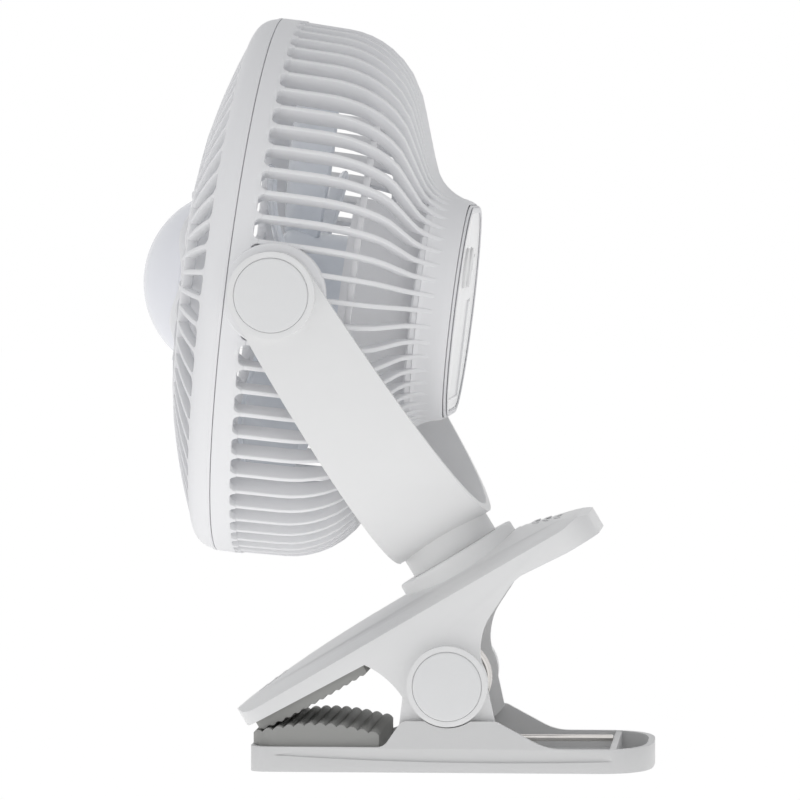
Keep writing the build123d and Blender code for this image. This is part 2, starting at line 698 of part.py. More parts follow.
def knob_caps():
    """Flat round caps over the tilt screws."""
    cap = across(KNOB_CAP_RADIUS, KNOB_FACE - CAP_THICKNESS, KNOB_FACE + CAP_PROUD)
    return [YOKE.location * solid for solid in both_sides(cap)]


def tilt_screws():
    """Screws that hold the head between the arms."""
    head_base = KNOB_FACE - CAP_THICKNESS - TILT_SCREW_RADIUS - SEAT_GAP
    head = across(TILT_SCREW_HEAD, head_base, head_base + TILT_SCREW_RADIUS)
    end = PAD_FACE - PAD_DEPTH - SLIDE_GAP - TILT_WASHER_THICKNESS
    shank = across(TILT_SCREW_RADIUS, end, head_base)
    return [YOKE.location * solid for solid in both_sides(head + shank)]


def tilt_washers():
    """Washers behind the head's bearing pads."""
    face = PAD_FACE - PAD_DEPTH - SLIDE_GAP
    ring = across(TILT_WASHER_RADIUS, face - TILT_WASHER_THICKNESS, face)
    ring -= across(TILT_SCREW_RADIUS, face - TILT_WASHER_THICKNESS, face)
    return [YOKE.location * solid for solid in both_sides(ring)]


def swivel_washer():
    """Washer under the lever that keeps the spindle in its bore."""
    top = -SPINDLE_BOSS_DEPTH
    ring = disc(WASHER_RADIUS, top - WASHER_THICKNESS, top)
    return SEAT.location * (ring - disc(SPINDLE_SCREW_RADIUS, top - WASHER_THICKNESS, top))


def swivel_screw():
    """Screw up into the spindle."""
    head_top = -SPINDLE_BOSS_DEPTH - WASHER_THICKNESS
    head = disc(SPINDLE_SCREW_HEAD, head_top - SPINDLE_SCREW_RADIUS, head_top)
    return SEAT.location * (head + disc(SPINDLE_SCREW_RADIUS, head_top, 0))


# --- rear cage ---
def throat_radius(angle, half_height):
    """Distance from the fan's axis to the stadium outline, at an angle from straight up."""
    up = abs(cos(angle))
    side = abs(sin(angle))
    if up * NECK_STRAIGHT >= side * half_height:
        return half_height / up
    return NECK_STRAIGHT * side + sqrt(half_height**2 - (NECK_STRAIGHT * up) ** 2)


def cage_top(behind):
    """Radius of the cage over its top: nearly straight, a round shoulder, a slope, a round throat."""
    slope = radians(CAGE_SLOPE)
    start = atan2(SHOULDER_DROP, SHOULDER_BEHIND)
    shoulder = RING_RADIUS - SHOULDER_DROP
    if behind < SHOULDER_BEHIND:
        return RING_RADIUS - SHOULDER_DROP * behind / SHOULDER_BEHIND
    centre = SHOULDER_BEHIND - SHOULDER_ARC * sin(start)
    crown = shoulder - SHOULDER_ARC * cos(start)
    bend = centre + SHOULDER_ARC * sin(slope)
    if behind < bend:
        return crown + sqrt(SHOULDER_ARC**2 - (behind - centre) ** 2)
    fall = crown + SHOULDER_ARC * cos(slope) - tan(slope) * (min(behind, THROAT_ARC_BEHIND) - bend)
    if behind < THROAT_ARC_BEHIND:
        return fall
    centre = THROAT_ARC_BEHIND + THROAT_ARC * sin(slope)
    floor = fall + THROAT_ARC * cos(slope)
    return floor - sqrt(THROAT_ARC**2 - (behind - centre) ** 2)


def cage_fraction(behind):
    """How far out the cage stands at a depth behind the ring: 1 at the ring, 0 at the fins' end."""
    end = cage_top(FIN_END_BEHIND)
    return (cage_top(behind) - end) / (RING_RADIUS - end)


def cage_stations(steps):
    """Depths behind the ring at which the cage's outline turns by even steps."""
    slope = radians(CAGE_SLOPE)
    start = atan2(SHOULDER_DROP, SHOULDER_BEHIND)
    centre = SHOULDER_BEHIND - SHOULDER_ARC * sin(start)
    throat = THROAT_ARC_BEHIND + THROAT_ARC * sin(slope)
    end = asin((throat - FIN_END_BEHIND) / THROAT_ARC)
    turns = [step / steps for step in range(steps + 1)]
    shoulder = [centre + SHOULDER_ARC * sin(start + (slope - start) * turn) for turn in turns]
    foot = [throat - THROAT_ARC * sin(slope + (end - slope) * turn) for turn in turns]
    return [RIB_START_BEHIND, *shoulder, *foot]


def cage_edge(angle, inset, steps):
    """Points of a rib's long edge from the ring to the fins' end, drawn in by inset."""
    root = throat_radius(angle, NECK_SHOULDER_RADIUS + RIB_TIP)
    points = []
    for behind in cage_stations(steps):
        reach = root + (RING_RADIUS - root) * cage_fraction(behind)
        points.append((reach - inset, RING_AHEAD - behind))
    return points


def cage_rib(angle):
    """One rib: a thin plate in a plane through the fan's axis."""
    outer = cage_edge(angle, RIB_INSET, OUTER_STEPS)
    slope = radians(CAGE_SLOPE)
    edge = cage_edge(angle, 0, INNER_STEPS)
    inner = [(reach - RIB_DEPTH, z) for reach, z in edge[: INNER_STEPS + 1]]
    for reach, z in edge[INNER_STEPS + 1 : INNER_STEPS + 3]:
        inner.append((reach - RIB_DEPTH * cos(slope), z + RIB_DEPTH * sin(slope)))
    for behind in (SHELL, FIN_END_BEHIND - THROAT_BEHIND - SHELL):
        inner.append((throat_radius(angle, neck_inside(behind) + SHELL / 2), THROAT_Z - behind))
    face = Plane.XZ * make_face(Polyline(*outer, *reversed(inner), close=True))
    return Rot(0, 0, degrees(angle)) * extrude(face, amount=RIB_THICKNESS / 2, both=True)


def neck_inside(behind):
    """Half height inside the neck at a depth behind the throat."""
    flare = NECK_FLARE_RADIUS - NECK_SHOULDER_RADIUS
    return NECK_FLARE_RADIUS - SHELL - flare * behind / (FIN_END_BEHIND - THROAT_BEHIND)


def rear_cage():
    """Ribbed cage: ring, sixty ribs, inner hoop, tilt bearings and the solid neck behind."""
    seam = RING_AHEAD
    band_end = seam - RING_BAND
    band = disc(RING_RADIUS, band_end, seam) - disc(RING_RADIUS - SHELL, band_end, seam)
    ribs = [cage_rib(2 * pi * (index + 0.5) / RIB_COUNT) for index in range(RIB_COUNT)]
    hoop_z = seam - HOOP_BEHIND
    share = cage_fraction(HOOP_BEHIND)
    root = throat_radius(0, NECK_SHOULDER_RADIUS + RIB_TIP)
    hoop_radius = root + (RING_RADIUS - root) * share - RIB_DEPTH / 2
    hoop = disc(hoop_radius, hoop_z, hoop_z + HOOP_SECTION)
    hoop -= disc(hoop_radius - HOOP_SECTION, hoop_z, hoop_z + HOOP_SECTION)
    neck = stadium_tube(
        [
            (NECK_FLARE_RADIUS, THROAT_Z),
            (NECK_SHOULDER_RADIUS, seam - FIN_END_BEHIND),
            (NECK_END_RADIUS, PANEL_Z),
        ],
        SHELL,
    )
    pad = across(PAD_RADIUS, PAD_FACE - PAD_DEPTH, PAD_FACE)
    web_end = seam - WEB_BEHIND
    web = disc(RING_RADIUS - SEAT_GAP, web_end, band_end) - disc(RING_RADIUS - SHELL, web_end, band_end)
    web &= Box(2 * WEB_HALF_HEIGHT, 4 * RING_RADIUS, 4 * RING_RADIUS)
    pad &= disc(2 * RING_RADIUS, -RING_RADIUS, seam)
    cage = neck.fuse(band, hoop, *web.solids(), *both_sides(pad), *ribs)
    seat = across(TILT_WASHER_RADIUS + SLIDE_GAP, RING_RADIUS - 2 * PAD_DEPTH, PAD_FACE - PAD_DEPTH)
    cage -= both_sides(seat)
    bore = across(STUB_RADIUS + SPIN_GAP, -RING_RADIUS - PAD_DEPTH, RING_RADIUS + PAD_DEPTH)
    return HEAD.location * (cage - bore)


def back_cover():
    """Flat stadium cover of the neck with its blank recess and the openings of the controls."""
    start = PANEL_Z + PANEL_SET_BACK
    size = NECK_END_RADIUS - SHELL
    cover = extrude(stadium(size, start), amount=PANEL_THICKNESS)
    recess = Pos(-RECESS_DROP, 0, start + RECESS_DEPTH / 2)
    cover -= recess * Box(RECESS_HEIGHT, RECESS_WIDTH, RECESS_DEPTH)
    for place in (POWER_BUTTON_Y, LAMP_BUTTON_Y):
        hole = disc(BUTTON_RADIUS + SLIDE_GAP, start, start + PANEL_THICKNESS)
        cover -= Pos(BUTTON_RISE, place, 0) * hole
    port = Pos(BUTTON_RISE, PORT_Y, start + PANEL_THICKNESS / 2)
    cover -= port * Box(PORT_HEIGHT + 2 * SLIDE_GAP, PORT_WIDTH + 2 * SLIDE_GAP, PANEL_THICKNESS)
    return HEAD.location * cover


def button(place):
    """Round push button: cap through the cover, flange behind it and a stem to the switch."""
    outside = PANEL_Z + PANEL_SET_BACK
    inside = outside + PANEL_THICKNESS
    cap = disc(BUTTON_RADIUS, outside - BUTTON_PROUD, inside + BUTTON_FLANGE)
    flange = disc(BUTTON_RADIUS + BUTTON_FLANGE, inside + SLIDE_GAP, inside + BUTTON_FLANGE)
    return HEAD.location * (Pos(BUTTON_RISE, place, 0) * (cap + flange))


def power_button():
    """Button that steps the fan's speed."""
    return button(POWER_BUTTON_Y)


def lamp_button():
    """Button that steps the lamp."""
    return button(LAMP_BUTTON_Y)


def board_front():
    """Height of the circuit board's face towards the cover."""
    flange_top = PANEL_Z + PANEL_SET_BACK + PANEL_THICKNESS + BUTTON_FLANGE
    return flange_top + BUTTON_TRAVEL + SEAT_GAP + BOARD_THICKNESS / 2


def circuit_board():
    """Board behind the cover, with one switch behind each button."""
    front = board_front()
    spread = (NECK_SHOULDER_RADIUS - NECK_END_RADIUS) / (PANEL_BEHIND - FIN_END_BEHIND)
    half = NECK_END_RADIUS - SHELL + spread * (front - PANEL_Z)
    board = extrude(stadium(half, front), amount=BOARD_THICKNESS)
    for place in (POWER_BUTTON_Y, LAMP_BUTTON_Y):
        switch = Pos(BUTTON_RISE, place, front - BOARD_THICKNESS / 4)
        board += switch * Box(BUTTON_RADIUS, BUTTON_RADIUS, BOARD_THICKNESS / 2)
    return HEAD.location * board


def charging_port():
    """Metal charging socket, open at the back."""
    outside = PANEL_Z + PANEL_SET_BACK
    length = board_front() - outside
    shell = Pos(BUTTON_RISE, PORT_Y, outside + length / 2) * Box(PORT_HEIGHT, PORT_WIDTH, length)
    mouth = Box(PORT_HEIGHT - SEAT_GAP, PORT_WIDTH - SEAT_GAP, length - SEAT_GAP)
    shell -= Pos(BUTTON_RISE, PORT_Y, outside + (length - SEAT_GAP) / 2) * mouth
    return HEAD.location * shell


def motor_pod():
    """Housing in front of the neck that holds the motor and the cells."""
    rear = THROAT_Z
    front = POD_FRONT_Z
    back = rear - POD_WALL
    tube = stadium_tube([(POD_HALF_HEIGHT, back), (POD_HALF_HEIGHT, front)], POD_WALL)
    face = extrude(stadium(POD_HALF_HEIGHT, front - POD_WALL), amount=POD_WALL)
    flange = loft([stadium(neck_inside(0), rear), stadium(neck_inside(POD_WALL), back)], ruled=True)
    flange -= extrude(stadium(POD_HALF_HEIGHT - POD_WALL, back), amount=POD_WALL)
    pod = tube + face + flange
    return HEAD.location * (pod - disc(MOTOR_RADIUS / 2, front - POD_WALL, front))


def motor():
    """Motor can against the inside of the pod's face, with its bearing nose in the hole."""
    face = POD_FRONT_Z - POD_WALL
    can = disc(MOTOR_RADIUS, face - MOTOR_LENGTH, face)
    nose = disc(MOTOR_RADIUS / 2 - SLIDE_GAP, face, POD_FRONT_Z)
    bore = disc(SHAFT_RADIUS + PIN_GAP, face - MOTOR_LENGTH / 2, POD_FRONT_Z)
    return HEAD.location * (can + nose - bore)


def motor_screws():
    """Screws through the pod's face into the motor."""
    face = POD_FRONT_Z
    ring = (MOTOR_RADIUS / 2 + MOTOR_RADIUS) / 2
    head = disc(MOTOR_SCREW_HEAD, face, face + SHAFT_RADIUS)
    return [HEAD.location * (Pos(side * ring, 0, 0) * head) for side in (-1, 1)]


def battery_cells():
    """Two round cells above and below the motor."""
    z = POD_FRONT_Z - POD_WALL - MOTOR_LENGTH + CELL_RADIUS
    half = CELL_LENGTH / 2
    inside = POD_HALF_HEIGHT - POD_WALL
    offset = sqrt(inside**2 - (half - NECK_STRAIGHT) ** 2) - CELL_RADIUS
    return [HEAD.location * across(CELL_RADIUS, -half, half, side * offset, z) for side in (-1, 1)]


# --- impeller ---
def blade_section(radius, chord, pitch):
    """Corners of a thin cambered strip across the blade at a radius."""
    half = chord / 2
    camber = BLADE_CAMBER * chord
    thin = BLADE_THICKNESS / 2
    lean = radians(pitch)
    corners = [
        (-half, thin),
        (0, camber + thin),
        (half, thin),
        (half, -thin),
        (0, camber - thin),
        (-half, -thin),
    ]
    return [
        Vector(radius, x * cos(lean) - z * sin(lean), x * sin(lean) + z * cos(lean)) for x, z in corners
    ]


def flat_sided_loft(near, far):
    """A solid between two thin outlines, each side in two triangles whose folds match its back's."""
    outlines = [near[::-1], far]
    for index, corner in enumerate(near):
        following = (index + 1) % len(near)
        side = [corner, near[following], far[following], far[index]]
        if index >= len(near) // 2:
            side = side[1:] + side[:1]
        outlines.append(side[:3])
        outlines.append([side[2], side[3], side[0]])
    return Solid(Shell([Face(Wire.make_polygon(outline)) for outline in outlines]))


def blade_plane():
    """Height of the blades' middle plane."""
    return POD_FRONT_Z + IMPELLER_STAND_OFF + IMPELLER_HUB_LENGTH / 2


def impeller():
    """Cup hub with cambered blades that twist from root to tip."""
    root = IMPELLER_HUB_RADIUS - BLADE_THICKNESS
    blade = flat_sided_loft(
        blade_section(root, BLADE_ROOT_CHORD, BLADE_ROOT_PITCH),
        blade_section(IMPELLER_RADIUS, BLADE_TIP_CHORD, BLADE_TIP_PITCH),
    )
    limit = disc(IMPELLER_RADIUS, -RING_RADIUS, RING_RADIUS)
    blade = Pos(0, 0, blade_plane()) * (blade & limit)
    low = POD_FRONT_Z + IMPELLER_STAND_OFF
    high = low + IMPELLER_HUB_LENGTH
    hub = disc(IMPELLER_HUB_RADIUS, low, high)
    hub = chamfer(hub.edges().sort_by(Axis.Z)[-1], WALL)
    hub -= disc(IMPELLER_HUB_RADIUS - WALL, low, high - WALL)
    hub += disc(3 * SHAFT_RADIUS, low, high)
    wheel = hub.fuse(*[Rot(0, 0, 360 * index / BLADE_COUNT) * blade for index in range(BLADE_COUNT)])
    core = disc(IMPELLER_HUB_RADIUS - WALL, low, high - 2 * WALL) - disc(3 * SHAFT_RADIUS, low, high)
    wheel = wheel - core - disc(SHAFT_RADIUS, low, high - WALL)
    return HEAD.location * wheel


def motor_shaft():
    """Steel shaft from the motor into the impeller's hub."""
    start = POD_FRONT_Z - POD_WALL - MOTOR_LENGTH / 2
    end = POD_FRONT_Z + IMPELLER_STAND_OFF + IMPELLER_HUB_LENGTH - WALL
    return HEAD.location * disc(SHAFT_RADIUS, start, end)


# --- front grille and lamp ---
def grille_height(radius):
    """Height of the grille's face ahead of the ring at a radius."""
    share = (radius - HUB_RADIUS) / (BEZEL_INNER - HUB_RADIUS)
    return RING_AHEAD + GRILLE_RISE - (GRILLE_RISE - BEZEL_DEPTH) * share**GRILLE_CURVE


def grille_rib(index, inner, outer):
    """One radial rib whose front edge follows the grille's face."""
    overlap = GRILLE_RIB_THICKNESS / 2
    start = inner - overlap
    length = outer + overlap - start
    radii = [start + length * step / GRILLE_STEPS for step in range(GRILLE_STEPS + 1)]
    front = [(radius, grille_height(max(radius, HUB_RADIUS)) - 2 * RIB_INSET) for radius in radii]
    back = [(radius, height - GRILLE_RIB_DEPTH + 4 * RIB_INSET) for radius, height in reversed(front)]
    face = Plane.XZ * make_face(Polyline(*front, *back, close=True))
    return Rot(0, 0, index) * extrude(face, amount=GRILLE_RIB_THICKNESS / 2, both=True)


def grille_ring(radius, width):
    """A ring of the grille that follows its face."""
    top = grille_height(radius)
    return disc(radius + width / 2, top - GRILLE_RIB_DEPTH, top) - disc(
        radius - width / 2, top - GRILLE_RIB_DEPTH, top
    )


def bezel():
    """Outer ring of the grille, turned in at its front, with the tongue that enters the cage."""
    seam = RING_AHEAD
    tongue = RING_RADIUS - SHELL - SLIDE_GAP
    inner = BEZEL_INNER
    turn = (RING_RADIUS + inner) / 2 + BEZEL_DROP
    turn_height = (BEZEL_LIP + BEZEL_DEPTH) / 2
    return spun(
        [
            Line((RING_RADIUS, seam), (RING_RADIUS - BEZEL_DROP, seam + BEZEL_LIP)),
            Line((RING_RADIUS - BEZEL_DROP, seam + BEZEL_LIP), (turn, seam + turn_height)),
            Line((turn, seam + turn_height), (inner, seam + BEZEL_DEPTH)),
            Line((inner, seam + BEZEL_DEPTH), (inner, seam + BEZEL_DEPTH - GRILLE_RIB_DEPTH)),
            Line((inner, seam + BEZEL_DEPTH - GRILLE_RIB_DEPTH), (tongue - SHELL, seam)),
            Line((tongue - SHELL, seam), (tongue - SHELL, seam - TONGUE_LENGTH)),
            Line((tongue - SHELL, seam - TONGUE_LENGTH), (tongue, seam - TONGUE_LENGTH)),
            Line((tongue, seam - TONGUE_LENGTH), (tongue, seam)),
            Line((tongue, seam), (RING_RADIUS, seam)),
        ]
    )


def front_grille():
    """Domed front grille: bezel, sixty outer ribs, thirty inner ones and the lamp's lobed collar."""
    outer = [
        grille_rib(360 * (index + 0.5) / RIB_COUNT, MID_RING_RADIUS, BEZEL_INNER)
        for index in range(RIB_COUNT)
    ]
    inner = [
        grille_rib(360 * (index + 0.25) / INNER_RIB_COUNT, HUB_RADIUS, MID_RING_RADIUS)
        for index in range(INNER_RIB_COUNT)
    ]
    seam = RING_AHEAD
    collar_inner = LENS_RIM_RADIUS + SLIDE_GAP
    floor = seam + HUB_FLOOR_AHEAD
    collar = disc(HUB_RADIUS, floor, seam + COLLAR_CREST) - disc(collar_inner, floor, seam + COLLAR_CREST)
    crest_gap = 2 * HUB_RADIUS * sin(pi / LOBES)
    dip = COLLAR_CREST - COLLAR_VALLEY
    scallop = (crest_gap**2 / 4 + dip**2) / (2 * dip)
    for index in range(LOBES):
        cutter = Pos(0, 0, seam + COLLAR_VALLEY + scallop) * Rot(0, 90, 0) * Pos(0, 0, HUB_RADIUS / 2)
        cutter = Rot(0, 0, 360 * (index + 0.5) / LOBES) * cutter * Cylinder(
            scallop, HUB_RADIUS, align=(Align.CENTER, Align.CENTER, Align.MIN)
        )
        collar -= cutter
    hub = collar + disc(HUB_RADIUS, floor - WALL, floor)
    grille = hub.fuse(bezel(), grille_ring(MID_RING_RADIUS, GRILLE_RIB_THICKNESS), *outer, *inner)
    return HEAD.location * grille


def lamp_lens():
    """Diffuser of the lamp: a dome in even bands of a ball, hollow behind."""
    centre = RING_AHEAD + LENS_CENTRE_AHEAD
    floor = RING_AHEAD + HUB_FLOOR_AHEAD
    rim = LENS_RIM_RADIUS
    reach = asin(rim / LENS_RADIUS)
    turns = [reach * band / LENS_BANDS for band in range(LENS_BANDS + 1)]
    dome = [(LENS_RADIUS * sin(turn), centre + LENS_RADIUS * cos(turn)) for turn in turns]
    shoulder = dome[-1][1] - LENS_WALL
    inside = [(0, dome[1][1] - LENS_WALL), (rim - LENS_WALL, shoulder), (rim - LENS_WALL, floor)]
    return HEAD.location * spun(Polyline(*dome, (rim, floor), *reversed(inside), close=True))


def led_board():
    """Round board with a ring of light emitters, on the hub's floor."""
    floor = RING_AHEAD + HUB_FLOOR_AHEAD
    board = disc(LED_BOARD_RADIUS, floor, floor + BOARD_THICKNESS)
    top = floor + BOARD_THICKNESS + BOARD_THICKNESS / 2
    for index in range(LED_COUNT):
        chip = Pos(LED_CIRCLE, 0, top) * Box(LED_SIZE, LED_SIZE, BOARD_THICKNESS)
        board += Rot(0, 0, 360 * index / LED_COUNT) * chip
    return HEAD.location * board


NODES = {
    "base_shell": base_shell,
    "clip_pin": clip_pin,
    "lower_pad": lower_pad,
    "clip_spring": clip_spring,
    "lever_shell": lever_shell,
    "pivot_caps": pivot_caps,
    "upper_pad": upper_pad,
    "swivel_plate": swivel_plate,
    "yoke_hoop": yoke_hoop,
    "knob_caps": knob_caps,
    "tilt_screws": tilt_screws,
    "tilt_washers": tilt_washers,
    "swivel_washer": swivel_washer,
    "swivel_screw": swivel_screw,
    "rear_cage": rear_cage,
    "back_cover": back_cover,
    "power_button": power_button,
    "lamp_button": lamp_button,
    "circuit_board": circuit_board,
    "charging_port": charging_port,
    "motor_pod": motor_pod,
    "motor": motor,
    "motor_screws": motor_screws,
    "battery_cells": battery_cells,
    "impeller": impeller,
    "motor_shaft": motor_shaft,
    "front_grille": front_grille,
    "lamp_lens": lamp_lens,
    "led_board": led_board,
}

os.makedirs("parts", exist_ok=True)
for name, build in NODES.items():
    made = build()
    shape = Compound(children=made) if isinstance(made, list) else made
    export_step(shape, f"parts/{name}.step")
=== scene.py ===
import logging
import math
from dataclasses import dataclass
from enum import Enum
from typing import Callable, Iterable, Sequence

import bpy
from mathutils import Matrix, Vector
from mathutils.bvhtree import BVHTree


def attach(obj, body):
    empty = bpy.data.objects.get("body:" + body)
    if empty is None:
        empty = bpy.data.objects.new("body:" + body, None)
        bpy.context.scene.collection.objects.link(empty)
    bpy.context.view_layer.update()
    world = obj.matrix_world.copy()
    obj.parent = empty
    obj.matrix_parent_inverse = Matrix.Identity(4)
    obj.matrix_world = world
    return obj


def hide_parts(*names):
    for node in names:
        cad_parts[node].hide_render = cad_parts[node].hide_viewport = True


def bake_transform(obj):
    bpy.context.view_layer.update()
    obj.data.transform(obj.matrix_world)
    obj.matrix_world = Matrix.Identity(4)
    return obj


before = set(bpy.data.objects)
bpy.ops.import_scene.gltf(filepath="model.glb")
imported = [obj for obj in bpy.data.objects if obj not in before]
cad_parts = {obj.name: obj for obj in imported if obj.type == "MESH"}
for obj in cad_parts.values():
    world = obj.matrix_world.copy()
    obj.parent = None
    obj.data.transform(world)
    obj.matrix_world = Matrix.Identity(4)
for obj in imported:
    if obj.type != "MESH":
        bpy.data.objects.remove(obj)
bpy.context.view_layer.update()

# A white battery clip fan with a lamp in its hub. Sizes are millimetres, angles degrees.
# Pieces of the head are modelled about the fan's axis (x up, y across, z forward), pieces of the
# lever about its slope, and each is then placed in the part's own frame.

LOG = logging.getLogger("clip_fan")
MM = 0.001
Pair = tuple[float, float]
Point = tuple[float, float, float]
Piece = bpy.types.Object
Colour = tuple[float, float, float, float]

TILT = 7.0
SLOPE = 31.0
PIVOT = (-62.995, 0.0, 189.003)
SEAT = (2.2, 0.0, 80.5)
HINGE = (-0.5, 0.0, 34.1)
FULL_TURN = 2 * math.pi
ACROSS = (-math.pi / 2, 0.0, 0.0)
CAP_DEPTH = 1.6
CAP_PROUD = 0.5
WELD = 0.002
MERGE_GAP = 0.005
MIRROR_GAP = 0.0005
CORNER_REACH = 0.8


def axes(origin: Point, right: Point, forward: Point) -> Matrix:
    """Build a frame's matrix.

    Args:
        origin: The frame's origin in millimetres.
        right: Its x axis.
        forward: Its z axis.

    Returns:
        The matrix from the frame, in metres, to the part's own frame.
    """
    x_axis = Vector(right)
    z_axis = Vector(forward)
    y_axis = z_axis.cross(x_axis)
    matrix = Matrix((x_axis, y_axis, z_axis)).transposed().to_4x4()
    matrix.translation = Vector(origin) * MM
    return matrix


def turned(degrees: float) -> Pair:
    """Give the cosine and sine of an angle in degrees."""
    return math.cos(math.radians(degrees)), math.sin(math.radians(degrees))


TILT_COS, TILT_SIN = turned(TILT)
SLOPE_COS, SLOPE_SIN = turned(SLOPE)
HEAD = axes(PIVOT, (TILT_SIN, 0, TILT_COS), (-TILT_COS, 0, TILT_SIN))
LEVER = axes(SEAT, (SLOPE_COS, 0, SLOPE_SIN), (-SLOPE_SIN, 0, SLOPE_COS))
YOKE = axes(PIVOT, (SLOPE_COS, 0, SLOPE_SIN), (-SLOPE_SIN, 0, SLOPE_COS))


# --- materials ---
class Value:
    """A socket of single numbers that takes part in Python's own arithmetic."""

    def __init__(self, shader: "NodeTree", socket: bpy.types.NodeSocket | None) -> None:
        """Wrap a socket of a shader's node."""
        self.shader = shader
        self.socket = socket

    def combine(self, operation: str, *values: "Value | float") -> "Value":
        """Give the result of one Math node of that operation, with its inputs in order."""
        return self.shader.node("ShaderNodeMath", {"operation": operation}, dict(enumerate(values)))

    def __add__(self, other: "Value | float") -> "Value":
        """Add."""
        return self.combine("ADD", self, other)

    __radd__ = __add__

    def __sub__(self, other: "Value | float") -> "Value":
        """Subtract a value from this one."""
        return self.combine("SUBTRACT", self, other)

    def __rsub__(self, other: float) -> "Value":
        """Subtract this one from a number."""
        return self.combine("SUBTRACT", other, self)

    def __mul__(self, other: "Value | float") -> "Value":
        """Multiply."""
        return self.combine("MULTIPLY", self, other)

    __rmul__ = __mul__

    def clamped(self) -> "Value":
        """Keep between nought and one."""
        return self.shader.node("ShaderNodeClamp", {}, {0: self})


class NodeTree:
    """A tree of shader nodes that is filled through one method."""

    def __init__(self, tree: bpy.types.NodeTree) -> None:
        """Empty a tree."""
        self.tree = tree
        self.tree.nodes.clear()

    def node(self, kind: str, settings: dict, inputs: dict, output: int | str = 0) -> Value:
        """Add any node.

        Args:
            kind: The node's type.
            settings: Its own settings, which are set first.
            inputs: Values or links by socket name or number.
            output: The socket that is returned.

        Returns:
            The chosen output.
        """
        node = self.tree.nodes.new(kind)
        for key, value in settings.items():
            setattr(node, key, value)
        for key, value in inputs.items():
            if isinstance(value, Value):
                self.tree.links.new(value.socket, node.inputs[key])
            else:
                node.inputs[key].default_value = value
        return Value(self, node.outputs[output] if node.outputs else None)

    def seen_directly(self) -> Value:
        """One where the camera, a reflection or a refraction looks.

        Returns:
            One or nought.
        """
        camera = self.node("ShaderNodeLightPath", {}, {}, "Is Camera Ray")
        glossy = self.node("ShaderNodeLightPath", {}, {}, "Is Glossy Ray")
        through = self.node("ShaderNodeLightPath", {}, {}, "Is Transmission Ray")
        return (camera + glossy + through).clamped()

    def place(self, scale: Point = (1, 1, 1)) -> Value:
        """Object coordinates, stretched by a scale."""
        where = self.node("ShaderNodeTexCoord", {}, {}, "Object")
        return self.node("ShaderNodeMapping", {}, {"Vector": where, "Scale": scale})

    def noise(self, size: float, detail: float = 3.0, stretch: Point = (1, 1, 1)) -> Value:
        """Noise about a half, by its blotches' size in millimetres, its finer layers and its stretch."""
        inputs = {"Vector": self.place(stretch), "Scale": 1 / (size * MM), "Detail": detail}
        return self.node("ShaderNodeTexNoise", {}, inputs)

    def tint(self, factor: Value, first: Colour, second: Colour) -> Value:
        """Mix two colours: the first at a factor of nought, the second at one."""
        return self.node("ShaderNodeMix", {"data_type": "RGBA"}, {0: factor, 6: first, 7: second}, 2)


class Shader(NodeTree):
    """One material's nodes, which end in its principled shader."""

    def __init__(self, name: str) -> None:
        """Start an empty material of that name.

        Args:
            name: The material's name.
        """
        self.material = bpy.data.materials.new(name)
        self.material.use_nodes = True
        super().__init__(self.material.node_tree)
        self.surface = self.node("ShaderNodeBsdfPrincipled", {}, {})
        self.finish(self.surface)

    def finish(self, surface: Value) -> None:
        """End the material in a shader.

        Args:
            surface: The last shader.
        """
        for node in list(self.tree.nodes):
            if node.type == "OUTPUT_MATERIAL":
                self.tree.nodes.remove(node)
        self.node("ShaderNodeOutputMaterial", {}, {0: surface})

    def set(self, **inputs: Value | float | Colour) -> None:
        """Set or link the principled shader's sockets, named with underscores for spaces.

        Args:
            inputs: Values or links by socket name, with underscores for spaces.
        """
        sockets = self.surface.socket.node.inputs
        for key, value in inputs.items():
            socket = sockets[key.replace("_", " ")]
            if isinstance(value, Value):
                self.tree.links.new(value.socket, socket)
            else:
                socket.default_value = value

    def relief(self, height: Value, depth: float) -> None:
        """Press heights from nought to one into the surface, to a full depth in millimetres."""
        inputs = {"Strength": 1.0, "Distance": depth * MM, "Height": height}
        self.set(Normal=self.node("ShaderNodeBump", {}, inputs, "Normal"))


def grey(level: float, warmth: float = 0.0) -> Colour:
    """Give a grey of that level, a little warmer or, below nought, cooler."""
    return (level + warmth, level, level - warmth, 1.0)


@dataclass(frozen=True)
class MouldedPlastic:
    """White moulded plastic with a fine texture and faint flow marks.

    Attributes:
        name: The material's name.
        level: How light it is.
        warmth: How warm the white is.
        roughness: How matt it is.
        grain: Depth of its fine texture in millimetres.
        coat: Weight of a clear gloss over it.
    """

    name: str
    level: float
    warmth: float = 0.0
    roughness: float = 0.42
    grain: float = 0.02
    coat: float = 0.0

    def make(self) -> bpy.types.Material:
        """Build the material.

        Returns:
            The material.
        """
        shader = Shader(self.name)
        flow = shader.noise(26.0, 3.0, (1.0, 1.0, 2.4))
        dust = shader.noise(3.0, 4.0)
        grain = shader.noise(0.45, 2.0)
        mottle = (flow * 0.7 + dust * 0.3).clamped()
        dark = grey(self.level * 0.975, self.warmth)
        light = grey(self.level * 1.02, self.warmth)
        roughness = (dust * 0.14 + (self.roughness - 0.07)).clamped()
        shader.set(Base_Color=shader.tint(mottle, dark, light), Roughness=roughness)
        shader.set(Coat_Weight=self.coat, Coat_Roughness=0.12, IOR=1.49, Subsurface_Weight=0.0)
        shader.relief((grain * 0.75 + flow * 0.25).clamped(), self.grain)
        return shader.material


